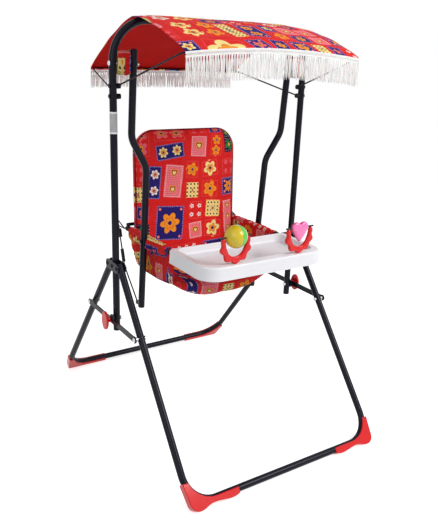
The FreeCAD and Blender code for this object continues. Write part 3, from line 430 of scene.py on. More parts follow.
@dataclass(frozen=True)
class Film:
    """Blank silver film of a label, with a white margin at both ends."""

    name: str
    low: float
    high: float
    margin: float = 0.005
    colour: Colour = (0.40, 0.40, 0.42)
    edge: Colour = (0.82, 0.82, 0.84)

    def material(self) -> bpy.types.Material:
        """Make the material."""
        s = Surface.start(self.name)
        where = s.object_point()
        cloud = s.noise(where, 0.01)
        height = s.axes(where)[2]
        printed = height.between(self.low + self.margin, self.high - self.margin)
        colour = s.over(self.edge, printed, self.colour)
        return s.finish(s.shade(colour, cloud * 0.5 + 0.75), cloud * 0.2 + 0.35,
                        s.noise(where, 0.003), 0.00005)


@dataclass(frozen=True)
class PlainCloth:
    """Plain woven cloth, such as the canopy's underside and the piping."""

    name: str
    colour: Colour
    thread: float = 0.0009

    def material(self) -> bpy.types.Material:
        """Make the material."""
        s = Surface.start(self.name, Specular_IOR_Level=0.12)
        where = s.object_point()
        cloud = s.noise(where, 0.06)
        fine = s.noise(where, self.thread, 2.0)
        return s.finish(s.shade(self.colour, cloud * 0.3 + fine * 0.25 + 0.72), fine * 0.1 + 0.75,
                        fine, 0.0002)


@dataclass(frozen=True)
class Yarn:
    """Soft twisted yarn of the fringe."""

    name: str
    colour: Colour = (0.92, 0.90, 0.89)

    def material(self) -> bpy.types.Material:
        """Make the material."""
        s = Surface.start(self.name, Sheen_Weight=0.2, Sheen_Roughness=0.6, Subsurface_Weight=0.15,
                          Subsurface_Scale=0.002)
        x, y, z = s.axes(s.object_point())
        twist = s.noise(s.vector(x, y, z * 0.3), 0.0012, 2.0)
        return s.finish(s.shade(self.colour, twist * 0.3 + 0.82), twist * 0.1 + 0.7, twist, 0.0004)


@dataclass(frozen=True)
class BallPlastic:
    """Gloss plastic of the spinning ball: yellow, with a green end and a pale band at that end which is a
    painted rim highlight.
    """

    name: str
    centre_x: float
    radius: float
    seam: float = 0.08
    # Share of the radius past which the ball takes the pale painted highlight.
    rim: float = 0.66
    yellow: Colour = (0.62, 0.46, 0.01)
    green: Colour = (0.10, 0.52, 0.05)
    # Colour of the painted rim highlight.
    cream: Colour = (0.80, 0.82, 0.40)

    def material(self) -> bpy.types.Material:
        """Make the material: the colours are bands across the ball's axle, the last of them a painted
        highlight.
        """
        s = Surface.start(self.name, Coat_Weight=0.4, Coat_Roughness=0.05, Specular_IOR_Level=0.3)
        where = s.object_point()
        share = (s.axes(where)[0] - self.centre_x) / self.radius
        cloud = s.noise(where, 0.012)
        colour = s.over(self.yellow, share > self.seam, self.green)
        # Painted rim highlight: the pale band at the ball's end.
        colour = s.over(colour, share > self.rim, self.cream)
        return s.finish(s.shade(colour, cloud * 0.2 + 0.9), cloud * 0.06 + 0.14)


@dataclass(frozen=True)
class HeartPlastic:
    """Gloss plastic of the spinning heart, with painted shade that darkens it towards its rim."""

    name: str
    face: Colour = (0.88, 0.18, 0.44)
    # Colour of the painted shade on the heart's sides.
    rim: Colour = (0.55, 0.03, 0.14)

    def material(self) -> bpy.types.Material:
        """Make the material from the surface's own attribute, 0 in the middle and 1 at the rim, where shade
        is painted.
        """
        s = Surface.start(self.name, Coat_Weight=0.4, Coat_Roughness=0.05, Specular_IOR_Level=0.3)
        edge = Term(s.tree, s.node("ShaderNodeAttribute", attribute_name="edge").outputs["Fac"])
        cloud = s.noise(s.object_point(), 0.012)
        # Painted shade: the darker colour round the heart's sides.
        mask = ((edge - 0.86) * 8).larger(0).smaller(1)
        return s.finish(s.shade(s.over(self.face, mask, self.rim), cloud * 0.2 + 0.9),
                        cloud * 0.06 + 0.14)


@dataclass(frozen=True)
class Patch:
    """One patch of the print, seen from a place on the cloth.

    Attributes:
        x: metres from its middle to the right.
        y: metres from its middle upwards.
        half_x: half its width.
        half_y: half its height.
        edge: metres outside its outline, less than 0 inside.
        motif_x: metres from the middle of the nearest copy of its motif.
        motif_y: the same upwards.
        size: room that its motif has round its middle.
        draws: three numbers by chance.
    """

    x: Term
    y: Term
    half_x: Term
    half_y: Term
    edge: Term
    motif_x: Term
    motif_y: Term
    size: Term
    draws: tuple[Term, Term, Term]

    def lattice(self, pitch: float) -> tuple[Term, Term]:
        """Place within the squares of a lattice, from -0.5 to 0.5 each way."""
        return (self.x / pitch).rest() - 0.5, (self.y / pitch).rest() - 0.5

    def dots(self, pitch: float, radius: float) -> Term:
        """1 in round dots on a lattice, whose radius is a share of the pitch."""
        x, y = self.lattice(pitch)
        return (x * x + y * y) < radius ** 2

    def petals(self, count: Number, turn: Number, size: Term, depth: float = 0.42) -> Term:
        """Outline of a flower less the distance from its middle: over 0 inside the flower.

        The outline swings out and in once for each petal, with a notch between two petals.
        """
        radius = (self.motif_x * self.motif_x + self.motif_y * self.motif_y).root()
        angle = self.motif_y.work("ARCTAN2", self.motif_x)
        swing = abs((angle * count * 0.5 + turn).wave())
        return size * (swing * depth + (1 - depth)) - radius


@dataclass(frozen=True)
class PrintedCloth:
    """Woven cloth with a printed patchwork of flowers, hearts and checks on red.

    Rows of square cells are shifted by chance, and a cell is one, two or four patches. Each
    patch is a slightly turned rectangle, and a draw picks what it shows.
    """

    name: str
    # Factor on the print's brightness; below one, on the seat pan, the side covers and the pivot guards, it
    # is painted shade.
    tone_and_painted_shade: float = 1.0
    seed: float = 1.0
    pitch: float = 0.146
    whole_across: float = 0.46
    whole_up: float = 0.48
    least_cut: float = 0.37
    cut_range: float = 0.26
    least_fill: float = 0.36
    fill_range: float = 0.07
    tilt: float = 0.26
    bead: float = 0.0085
    bead_border: float = 0.0036
    check: float = 0.0140
    speck: float = 0.0042
    dash: float = 0.006
    stitch: float = 0.005
    pink_dot: float = 0.0062
    clover_dot: float = 0.011
    bud_inset: float = 0.0115
    bud: float = 0.0052
    bud_middle: float = 0.002
    bud_room: float = 0.026
    frame_width: float = 0.021
    small_flower: float = 0.031
    small_round: float = 0.0045
    small_petal: float = 0.0042
    small_middle: float = 0.0026
    thread: float = 0.0016
    relief: float = 0.0018
    red: Colour = (0.70, 0.007, 0.009)
    rose: Colour = (0.86, 0.10, 0.08)
    navy: Colour = (0.018, 0.011, 0.15)
    pale_blue: Colour = (0.27, 0.27, 0.62)
    pink: Colour = (0.84, 0.13, 0.17)
    cream: Colour = (0.93, 0.74, 0.28)
    green: Colour = (0.015, 0.19, 0.04)
    brown: Colour = (0.30, 0.06, 0.01)
    orange: Colour = (0.92, 0.30, 0.02)
    white: Colour = (0.90, 0.80, 0.74)
    black: Colour = (0.02, 0.008, 0.02)
    midnight: Colour = (0.012, 0.010, 0.05)

    def material(self) -> bpy.types.Material:
        """Make the material."""
        s = Surface.start(self.name, Specular_IOR_Level=0.14)
        u, v = s.cloth_point()
        colour = self.pattern(s, u, v)
        flat = s.vector(u, v, 0.0)
        grain = s.noise(flat, 0.0022, 2.0)
        cloud = s.noise(flat, 0.05)
        weave = (u * (math.tau / self.thread)).wave() * (v * (math.tau / self.thread)).wave()
        # Random grain and blotches, times the factor above, which carries painted shade where it is below
        # one.
        level = (grain * 0.4 + cloud * 0.2 + 0.7) * self.tone_and_painted_shade
        puckers = s.noise(s.vector(u, v * 0.4, self.seed), 0.03, 2.0)
        height = weave * 0.06 + grain * 0.1 + puckers
        return s.finish(s.shade(colour, level), grain * 0.12 + 0.68, height, self.relief)

    def pattern(self, s: Surface, u: Term, v: Term) -> bpy.types.NodeSocket:
        """Colour of the print at a place on the cloth.

        Args:
            s: the surface that the nodes belong to.
            u: metres along the cloth.
            v: metres up the cloth.

        Returns:
            The print's colour.
        """
        patch, chosen = self.patch(s, u, v)
        inside = patch.edge < 0.0
        colour = s.over(self.red, patch.dots(self.speck, 0.173), self.rose)
        dash = ((patch.x + patch.y) / self.dash).rest() > 0.4
        stitched = (chosen[Motif.BIG_FLOWER] + chosen[Motif.SMALL_FLOWERS]) * dash
        colour = s.over(colour, stitched * patch.edge.between(-0.0022, 0.0), self.rose)
        colour = self.navy_panel(s, colour, patch, chosen[Motif.NAVY_PANEL] * inside)
        colour = self.pink_tile(s, colour, patch, chosen[Motif.PINK_TILE] * inside)
        colour = self.checked_frame(s, colour, patch, chosen[Motif.CHECKED_FRAME] * inside)
        colour = self.clover(s, colour, patch, chosen[Motif.DARK_CLOVER] * inside)
        near = patch.edge < 0.003
        colour = self.flower(s, colour, patch, chosen[Motif.BIG_FLOWER] * near, 5, 1.0)
        return self.small_flowers(s, colour, patch, chosen[Motif.SMALL_FLOWERS] * inside)

    def patch(self, s: Surface, u: Term, v: Term) -> tuple[Patch, dict[Motif, Term]]:
        """The patch at a place on the cloth, and a mask for each motif."""
        row = (v / self.pitch).floor()
        across = u / self.pitch + s.chance(row, 0.5, self.seed)[0]
        column = across.floor()
        split_x, split_y, cut = s.chance(column, row, self.seed + 1)
        side_x, wide, level_x = self.part(across.rest(), split_x > self.whole_across, cut)
        side_y, tall, level_y = self.part((v / self.pitch).rest(), split_y > self.whole_up, split_x)
        names = (column + side_x * 0.31, row + side_y * 0.43)
        pick, width, height = s.chance(*names, self.seed + 2)
        draws = s.chance(*names, self.seed + 3)
        turn = (draws[2] - 0.5) * self.tilt
        x = level_x + level_y * turn
        y = level_y - level_x * turn
        half_x, half_y = ((draw * self.fill_range + self.least_fill) * part * self.pitch
                          for draw, part in ((width, wide), (height, tall)))
        wobble = (s.noise(s.vector(u, v, 3.0), 0.012, 1.0) - 0.5) * 0.003
        edge = (abs(x) - half_x).larger(abs(y) - half_y) + wobble
        motif_x, room_x = self.copy_place(x, half_x, half_y)
        motif_y, room_y = self.copy_place(y, half_y, half_x)
        patch = Patch(x, y, half_x, half_y, edge, motif_x, motif_y, room_x.smaller(room_y), draws)
        return patch, self.chosen(pick)

    def part(self, place: Term, split: Term, draw: Term) -> tuple[Term, Term, Term]:
        """Which part of a cell a place is in, along one axis.

        Args:
            place: from 0 to 1 across the cell.
            split: 1 where the cell is in two parts.
            draw: a number by chance that tells where they meet.

        Returns:
            The part's number, its share of the cell and metres from its middle to the place.
        """
        cut = draw * self.cut_range + self.least_cut
        side = split * (place > cut)
        width = side * ((cut * -1 + 1) - cut) + cut
        share = split * (width - 1) + 1
        return side, share, (place - side * cut - share * 0.5) * self.pitch

    @staticmethod
    def copy_place(place: Term, half: Term, other: Term) -> tuple[Term, Term]:
        """Place beside the nearest copy of a motif, along one axis.

        A long patch shows as many copies side by side as it is times longer than wide.

        Args:
            place: metres from the patch's middle.
            half: half the patch's size along this axis.
            other: half its size along the other axis.

        Returns:
            Metres from the copy's middle, and half the copy's room.
        """
        room = half / (half / other + 0.45).floor().larger(1)
        return (((place + half) / room * 0.5).rest() - 0.5) * room * 2, room

    @staticmethod
    def chosen(pick: Term) -> dict[Motif, Term]:
        """Which motif a draw picks, as one mask for each."""
        masks, low = {}, -0.01
        for motif in Motif:
            masks[motif] = pick.between(low, motif.value)
            low = motif.value
        return masks

    def navy_panel(self, s: Surface, colour: bpy.types.NodeSocket, patch: Patch,
                   mask: Term) -> bpy.types.NodeSocket:
        """Navy with a beaded border, a flower and a bud in each corner."""
        colour = s.over(colour, mask, self.navy)
        bead = ((patch.x + patch.y) / self.bead).rest() > 0.45
        colour = s.over(colour, mask * bead * (patch.edge > -self.bead_border), self.pale_blue)
        bud_x = abs(patch.x) - patch.half_x + self.bud_inset
        bud_y = abs(patch.y) - patch.half_y + self.bud_inset
        bud = (bud_x * bud_x + bud_y * bud_y).root()
        roomy = patch.size > self.bud_room
        colour = s.over(colour, mask * roomy * (bud < self.bud), self.pink)
        colour = s.over(colour, mask * roomy * (bud < self.bud_middle), self.cream)
        return self.flower(s, colour, patch, mask, (patch.draws[0] * 3).floor() + 5, 0.72)

    def pink_tile(self, s: Surface, colour: bpy.types.NodeSocket, patch: Patch,
                  mask: Term) -> bpy.types.NodeSocket:
        """Pink with dots, a stitched border and a heart.

        The heart is where x squared and the square of y less the root of x add up to one.
        """
        colour = s.over(colour, mask, self.pink)
        colour = s.over(colour, mask * patch.dots(self.pink_dot, 0.148), self.white)
        stitch = ((patch.x - patch.y) / self.stitch).rest() > 0.4
        colour = s.over(colour, mask * stitch * patch.edge.between(-0.0046, -0.003), self.white)
        size = patch.size * 0.5
        wide = abs(patch.motif_x / size)
        rise = patch.motif_y / size * 1.15 + 0.25 - wide.root() * 0.75
        spread = wide * wide + rise * rise
        colour = s.over(colour, mask * (spread < 1.0), self.orange)
        colour = s.over(colour, mask * (spread < 0.6), self.brown)
        return s.over(colour, mask * (spread < 0.22), self.cream)

    def checked_frame(self, s: Surface, colour: bpy.types.NodeSocket, patch: Patch,
                      mask: Term) -> bpy.types.NodeSocket:
        """Cream with dark diamonds round a navy or brown middle with a flower."""
        colour = s.over(colour, mask, self.cream)
        near_x, near_y = patch.lattice(self.check)
        colour = s.over(colour, mask * ((abs(near_x) + abs(near_y)) < 0.31), self.black)
        gap_x, gap_y = abs(near_x) * -1 + 0.5, abs(near_y) * -1 + 0.5
        colour = s.over(colour, mask * ((gap_x + gap_y) < 0.2), self.orange)
        middle = mask * (patch.edge < -self.frame_width)
        colour = s.over(colour, middle, self.navy)
        colour = s.over(colour, middle * (patch.draws[0] > 0.55), self.brown)
        return self.flower(s, colour, patch, middle, 6, 0.42)

    def clover(self, s: Surface, colour: bpy.types.NodeSocket, patch: Patch,
               mask: Term) -> bpy.types.NodeSocket:
        """Dark navy with pale dots and a green clover leaf."""
        colour = s.over(colour, mask, self.midnight)
        colour = s.over(colour, mask * patch.dots(self.clover_dot, 0.118), self.cream)
        leaf = mask * (patch.petals(4, 0.8, patch.size * 0.85) > 0.0)
        colour = s.over(colour, leaf, self.green)
        return s.over(colour, mask * (patch.petals(4, 0.8, patch.size * 0.3) > 0.0), self.orange)

    def flower(self, s: Surface, colour: bpy.types.NodeSocket, patch: Patch, mask: Term,
               count: Number, share: float) -> bpy.types.NodeSocket:
        """A flower with an outlined heart, in one of four colours."""
        petal = s.over(self.orange, patch.draws[1] > 0.4, self.cream)
        petal = s.over(petal, patch.draws[1] > 0.65, self.white)
        petal = s.over(petal, patch.draws[1] > 0.85, self.pink)
        turn = patch.draws[2] * math.tau
        outside = patch.petals(count, turn, patch.size * share)
        colour = s.over(colour, mask * (outside > 0.0), petal)
        inside = patch.petals(count, turn, patch.size * (share * 0.56))
        colour = s.over(colour, mask * (inside > 0.0), self.brown)
        colour = s.over(colour, mask * (inside > 0.0016), self.orange)
        return s.over(colour, mask * (patch.petals(3, 0.0, patch.size * (share * 0.2), 0.05) > 0.0),
                      self.navy)

    def small_flowers(self, s: Surface, colour: bpy.types.NodeSocket, patch: Patch,
                      mask: Term) -> bpy.types.NodeSocket:
        """Rows of small five-petalled flowers on the bare ground."""
        near_x, near_y = patch.lattice(self.small_flower)
        near_x, near_y = near_x * self.small_flower, near_y * self.small_flower
        radius = (near_x * near_x + near_y * near_y).root()
        swing = abs((near_y.work("ARCTAN2", near_x) * 2.5).wave())
        petal = s.over(self.white, patch.draws[0] > 0.5, self.pink)
        colour = s.over(colour, mask * (radius < swing * self.small_petal + self.small_round), petal)
        return s.over(colour, mask * (radius < self.small_middle), self.red)


# Shared surfaces


def in_scene(name: str, data: bpy.types.ID) -> bpy.types.Object:
    """Make an object of a mesh, a lamp or a camera and put it in the scene."""
    made = bpy.data.objects.new(name, data)
    bpy.context.scene.collection.objects.link(made)
    return made


def middle_of(node: str) -> np.ndarray:
    """Middle of a node's box."""
    return np.mean(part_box(node), axis=0)


def half_of(node: str) -> np.ndarray:
    """Half the size of a node's box, along each axis."""
    low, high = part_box(node)
    return np.subtract(high, low) / 2


def signed_power(value: np.ndarray, power: float) -> np.ndarray:
    """A power of a number's size, with the number's sign, as in a superellipse."""
    return np.sign(value) * np.abs(value) ** power


def together(*parts: "float | np.ndarray") -> np.ndarray:
    """Put coordinates whose shapes match together along a new last axis."""
    return np.stack(np.broadcast_arrays(*parts), axis=-1)


def grid_mesh(name: str, points: np.ndarray, cloth: np.ndarray | None = None, around: bool = False,
              loop: bool = False, capped: bool = False) -> bpy.types.Object:
    """Make a mesh from a grid of points.

    Point (i, j) is joined to (i + 1, j) and (i, j + 1) by four-sided faces.

    Args:
        name: the piece's name.
        points: rows of points, of shape (rows, columns, 3).
        cloth: metres along the cloth for each point, with one more column than the points
            where the columns close, so that the print has a seam there.
        around: whether the last column is joined to the first.
        loop: whether the last row is joined to the first.
        capped: whether the first and last rows are closed by a face.

    Returns:
        The new object, shaded smooth.
    """
    rows, columns = points.shape[:2]
    i, j = np.meshgrid(np.arange(rows if loop else rows - 1),
                       np.arange(columns if around else columns - 1), indexing="ij")
    corners = [(i, j), (i, j + 1), (i + 1, j + 1), (i + 1, j)]
    faces = np.stack([(a % rows) * columns + b % columns for a, b in corners], axis=-1).reshape(-1, 4)
    polygons = faces.tolist()
    if capped:
        polygons.append(list(range(columns))[::-1])
        polygons.append(list(range((rows - 1) * columns, rows * columns)))
    mesh = bpy.data.meshes.new(name)
    mesh.from_pydata(points.reshape(-1, 3).tolist(), [], polygons)
    if cloth is not None:
        layer = mesh.uv_layers.new(name="cloth")
        places = np.stack([cloth[a % cloth.shape[0], b] for a, b in corners], axis=2).reshape(-1, 2)
        spare = len(mesh.loops) - len(places)
        places = np.concatenate([places, np.zeros((spare, 2))])
        layer.data.foreach_set("uv", places.astype(np.float32).ravel())
    mesh.shade_smooth()
    return in_scene(name, mesh)


def face_outwards(piece: bpy.types.Object) -> bpy.types.Object:
    """Turn all faces of a closed shell outwards."""
    whole = bmesh.new()
    whole.from_mesh(piece.data)
    bmesh.ops.remove_doubles(whole, verts=whole.verts, dist=1e-6)
    bmesh.ops.recalc_face_normals(whole, faces=whole.faces)
    whole.to_mesh(piece.data)
    whole.free()
    return piece


def shell(name: str, rings: np.ndarray, cloth: np.ndarray | None = None) -> bpy.types.Object:
    """Closed shell round rings of points, with a face at both ends."""
    return face_outwards(grid_mesh(name, rings, cloth, around=True, capped=True))


def joined(name: str, pieces: Sequence[bpy.types.Object]) -> bpy.types.Object:
    """Join several meshes into one piece.

    Args:
        name: the new piece's name.
        pieces: the meshes, which are removed.

    Returns:
        The joined piece.
    """
    whole = bmesh.new()
    for piece in pieces:
        whole.from_mesh(piece.data)
        bpy.data.objects.remove(piece)
    mesh = bpy.data.meshes.new(name)
    whole.to_mesh(mesh)
    whole.free()
    return in_scene(name, mesh)


def baked(piece: bpy.types.Object) -> bpy.types.Object:
    """Replace a piece's mesh by what its modifiers make of it."""
    depsgraph = bpy.context.evaluated_depsgraph_get()
    mesh = bpy.data.meshes.new_from_object(piece.evaluated_get(depsgraph))
    piece.modifiers.clear()
    piece.data = mesh
    return piece


def add_modifier(piece: bpy.types.Object, kind: str, **settings: object) -> bpy.types.Modifier:
    """Add a modifier and set its properties."""
    modifier = piece.modifiers.new(kind.lower(), kind)
    for key, value in settings.items():
        setattr(modifier, key, value)
    return modifier


def vectors(items: bpy.types.bpy_prop_collection, name: str) -> np.ndarray:
    """One vector of each item of a mesh, as an array of shape (n, 3)."""
    flat = np.empty(len(items) * 3, np.float32)
    items.foreach_get(name, flat)
    return flat.reshape(-1, 3).astype(float)


def coordinates(mesh: bpy.types.Mesh) -> np.ndarray:
    """Places of a mesh's vertices."""
    return vectors(mesh.vertices, "co")


def move_to(mesh: bpy.types.Mesh, points: np.ndarray) -> None:
    """Put a mesh's vertices at new places."""
    mesh.vertices.foreach_set("co", points.astype(np.float32).ravel())
    mesh.update()


def set_cloth(mesh: bpy.types.Mesh, places: np.ndarray) -> None:
    """Write metres along the cloth, one pair for each vertex, into the UV map."""
    layer = mesh.uv_layers.get("cloth") or mesh.uv_layers.new(name="cloth")
    corner = np.empty(len(mesh.loops), np.int32)
    mesh.loops.foreach_get("vertex_index", corner)
    layer.data.foreach_set("uv", places[corner].astype(np.float32).ravel())


def tube(name: str, path: np.ndarray, radius: "float | np.ndarray", sides: int = 10,
         loop: bool = False, lift: Sequence[float] = (0, 0, 1)) -> bpy.types.Object:
    """Round tube along a path.

    At each point a circle stands square to the path: one axis is the cross product of the
    path's direction and the lift, the other is square to both.

    Args:
        name: the piece's name.
        path: points of the middle line, of shape (n, 3).
        radius: the tube's radius, one value or one for each point.
        sides: faces round the tube.
        loop: whether the path closes.
        lift: a direction that the path never runs along.

    Returns:
        The tube, closed at its ends unless it loops.
    """
    if loop:
        along = np.roll(path, -1, axis=0) - np.roll(path, 1, axis=0)
    else:
        along = np.gradient(path, axis=0)
    along /= np.linalg.norm(along, axis=1, keepdims=True)
    across = np.cross(along, np.array(lift, float))
    across /= np.linalg.norm(across, axis=1, keepdims=True)
    above = np.cross(across, along)
    turn = np.linspace(0, math.tau, sides, endpoint=False)
    size = np.broadcast_to(np.asarray(radius, float), (len(path),))[:, None, None]
    ring = across[:, None] * np.cos(turn)[:, None] + above[:, None] * np.sin(turn)[:, None]
    return face_outwards(grid_mesh(name, path[:, None] + ring * size, around=True, loop=loop,
                                   capped=not loop))


def unit_circle(turn: "float | np.ndarray") -> np.ndarray:
    """Points of a circle of radius one, for angles from the first axis to the second."""
    return together(np.cos(turn), np.sin(turn))


def evened(loop: np.ndarray, times: int) -> np.ndarray:
    """Average each point of a closed loop with its two neighbours, several times."""
    for _ in range(times):
        loop = (np.roll(loop, 1, axis=0) + 2 * loop + np.roll(loop, -1, axis=0)) / 4
    return loop


def rounded_corners(spots: Sequence[tuple[float, float, float, float]], count: int) -> list[np.ndarray]:
    """Quarter circles at the corners of an outline.

    Args:
        spots: for each corner its place across and up, its radius and the angle at which its
            quarter starts, which also tells on which side of it the centre lies.
        count: points to a corner.

    Returns:
        The quarters, each of shape (count, 2).
    """
    quarters = []
    for across, up, radius, start in spots:
        outwards = np.sign(unit_circle(start + math.pi / 4))
        turn = np.linspace(start, start + math.pi / 2, count)
        quarters.append((across, up) - radius * outwards + radius * unit_circle(turn))
    return quarters


def smooth_step(value: np.ndarray, low: float, high: float) -> np.ndarray:
    """0 below low, 1 above high and an even curve between."""
    share = np.clip((value - low) / (high - low), 0, 1)
    return share * share * (3 - 2 * share)


def dress(piece: bpy.types.Object, slot: str, *finishes: bpy.types.Material) -> None:
    """Give a piece its materials, and log its vertex count and its slot of the record."""
    piece.data.materials.clear()
    for finish in finishes:
        piece.data.materials.append(finish)
    log.info("%s: %d vertices, %s", piece.name, len(piece.data.vertices), slot)


def puffed(piece: bpy.types.Object, voxel: float, pressure: float, limit: float) -> bpy.types.Object:
    """Swell a closed shape as stuffed cloth does.

    The shape is remeshed evenly, blown up by the cloth solver's pressure for twenty frames and
    rounded by one subdivision. No point moves further than the limit.

    Args:
        piece: a closed shape, a little smaller than the stuffed one.
        voxel: size of the even faces.
        pressure: how hard the stuffing pushes.
        limit: the furthest that a point may move.

    Returns:
        The same object with its new mesh.
    """
    add_modifier(piece, "REMESH", mode="VOXEL", voxel_size=voxel, use_smooth_shade=True)
    baked(piece)
    add_modifier(piece, "SMOOTH", factor=0.5, iterations=4)
    baked(piece)
    before = coordinates(piece.data)
    cloth = add_modifier(piece, "CLOTH")
    cloth.settings.use_pressure = True
    cloth.settings.uniform_pressure_force = pressure
    cloth.settings.effector_weights.gravity = 0.0
    for number in range(1, 21):
        bpy.context.scene.frame_set(number)
    depsgraph = bpy.context.evaluated_depsgraph_get()
    after = coordinates(piece.evaluated_get(depsgraph).data)
    piece.modifiers.clear()
    bpy.context.scene.frame_set(1)
    move = after - before
    far = np.linalg.norm(move, axis=1, keepdims=True)
    move_to(piece.data, before + move * np.minimum(1, limit / np.maximum(far, 1e-9)))
    add_modifier(piece, "SUBSURF", levels=1, render_levels=1)
    baked(piece)
    piece.data.shade_smooth()
    return piece


def fit_to(piece: bpy.types.Object, low: Sequence[float], high: Sequence[float]) -> None:
    """Stretch a piece evenly along each axis until its box has these corners."""
    points = coordinates(piece.data)
    least, most = points.min(axis=0), points.max(axis=0)
    size = np.subtract(high, low)
    move_to(piece.data, np.array(low) + (points - least) / (most - least) * size)


# Canopy


@dataclass
class Canopy:
    """Two halves of printed cloth that meet along the ridge, each with a fringe at its hem.

    Seen from the side each half is a shallow bow from the ridge to a wire, with its hem
    wrapped round the wire as a sleeve.
    """

    side: Side
    reach: float
    wire_height: float
    arch: float
    fringe_length: float
    left_end: float
    right_end: float
    fringe_end: float
    half_width: float = 0.301
    thickness: float = 0.0012
    bulge: float = 0.011
    ridge_round: float = 0.022
    ridge_half: float = 0.284
    end_droop: float = 0.006
    droop_run: float = 0.075
    scallop: float = 0.0009
    sleeve: float = 0.0046
    sleeve_turn: float = math.radians(215)
    fringe_gap: float = 0.0012
    strand: float = 0.0011
    strand_pitch: float = 0.0018
    strand_lean: float = 0.0022
    strand_depth: float = 0.0016
    header: float = 0.012
    zigzag: float = 0.0065
    knot_pitch: float = 0.0085
    blend_margin: float = 0.012

    @property
    def ridge(self) -> float:
        """Height of the cloth's middle surface along the ridge."""
        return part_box(f"canopy_{self.side.word}")[1][2] - self.thickness / 2

    def hem_height(self, x: np.ndarray) -> np.ndarray:
        """Height of the wire: a low arch, highest in the middle."""
        return self.wire_height + self.arch * (1 - (x / self.half_width) ** 2)

    def profile(self, x: np.ndarray, rows: int = 72, turns: int = 16) -> tuple[np.ndarray, np.ndarray]:
        """Distance out from the ridge and height of the cloth for each place along it.

        From the ridge outwards the height falls along the straight line to the wire, raised by
        a parabola. Near the ridge the distance is rounded as the root of its square and a
        radius squared, so that both halves lie level where they meet. Then the cloth turns
        round the wire in a circle.

        Args:
            x: places along the ridge.
            rows: points from the ridge to the wire.
            turns: points round the wire.

        Returns:
            Two arrays of shape (rows + turns, columns).
        """
        out = np.linspace(0, 1, rows)[:, None]
        fall = self.ridge - self.hem_height(x)
        slope = np.arctan2(fall, self.reach) + np.arctan(4 * self.bulge / self.reach)
        end_out = self.reach + self.sleeve * np.sin(slope)
        end_up = self.hem_height(x) + self.sleeve * np.cos(slope)
        distance = out * end_out
        share = np.hypot(distance, self.ridge_round) - self.ridge_round
        share = share / share[-1]
        rise = 4 * self.bulge * share * (1 - share)
        height = self.ridge + share * (end_up - self.ridge) + rise
        droop = smooth_step(np.abs(x), self.half_width - self.droop_run, self.half_width)
        height = height - self.end_droop * droop * (1 - share) ** 2
        turn = np.linspace(0, self.sleeve_turn, turns + 1)[1:, None] + slope
        round_out = self.reach + self.sleeve * np.sin(turn)
        round_up = self.hem_height(x) + self.sleeve * np.cos(turn)
        return np.concatenate([distance, round_out]), np.concatenate([height, round_up])

    def build_cloth(self, print_finish: bpy.types.Material, lining: bpy.types.Material,
                    body: str) -> bpy.types.Object:
        """Make one half of the cloth.

        Low ripples, sums of sine waves that fade at the ridge and at the wire, keep it from
        looking like a stiff plate.

        Args:
            print_finish: material of the top.
            lining: material of the underside.
            body: the bow's body; not used.

        Returns:
            The cloth.
        """
        x = np.linspace(self.left_end, self.right_end, 161)
        out, up = self.profile(x)
        run = np.clip(out / self.reach, 0, 1)
        ridge_x = np.linspace(-self.ridge_half, self.ridge_half, 161)
        fade = np.sin(np.pi * run) ** 0.7
        waves = ((0.0016, 27, 2.1, self.side.value), (0.0011, 61, -4.0, 0), (0.0008, 8, 19, 0))
        ripple = sum(size * np.sin(x * along + run * down + shift) for size, along, down, shift in waves)
        scallop = self.scallop * np.sin(x * 150) * smooth_step(run, 0.8, 1.0) * (run < 1)
        drawn = x + (ridge_x - x) * (1 - run) ** 1.3
        points = together(drawn, self.side.value * out, up + ripple * fade + scallop)
        steps = np.linalg.norm(np.diff(points, axis=0), axis=2)
        length = np.concatenate([np.zeros((1, len(x))), np.cumsum(steps, axis=0)])
        cloth = together(points[..., 0], -self.side.value * length + 0.03)
        if self.side is Side.FRONT:
            points, cloth = points[:, ::-1], cloth[:, ::-1]
        piece = grid_mesh(f"canopy_cloth_{self.side.word}", points, cloth)
        if vectors(piece.data.vertex_normals, "vector")[:, 2].mean() < 0:
            piece.data.flip_normals()
        for finish in (print_finish, lining):
            piece.data.materials.append(finish)
        add_modifier(piece, "SOLIDIFY", thickness=self.thickness, offset=0.0, use_rim=True,
                     material_offset=1, material_offset_rim=0)
        baked(piece)
        log.info("%s: %d vertices, print_fabric", piece.name, len(piece.data.vertices))
        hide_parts(f"canopy_{self.side.word}")
        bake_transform(piece)
        return piece

    def hem_front(self) -> float:
        """Distance out from the ridge to the face that the fringe hangs against."""
        return self.reach + self.sleeve + self.thickness / 2 + self.fringe_gap

    def build_fringe(self, yarn: bpy.types.Material, body: str) -> bpy.types.Object:
        """Make the fringe: a crocheted header and rows of hanging strands.

        The header is two level cords and two crossing zigzags. Each strand starts at the
        header's lower cord, leans and curls by slow sine waves of its own and thins to its end.

        Args:
            yarn: the material.
            body: the bow's body.

        Returns:
            The fringe as one piece.
        """
        draw = np.random.default_rng(7 + self.side.value)
        plane = self.side.value * self.hem_front()
        parts = [self.header_cord(plane, 0.0, 0.0), self.header_cord(plane, -self.header, 0.0)]
        parts += [self.header_cord(plane, -self.header / 2, phase) for phase in (1.0, -1.0)]
        x = np.arange(self.left_end + self.strand_pitch, self.fringe_end, self.strand_pitch)
        parts.append(self.strands(x, plane, draw))
        fringe = joined(f"fringe_{self.side.word}", parts)
        fringe.data.shade_smooth()
        dress(fringe, "fringe_yarn", yarn)
        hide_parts(f"{self.side.word}_fringe")
        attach(fringe, body)
        return fringe

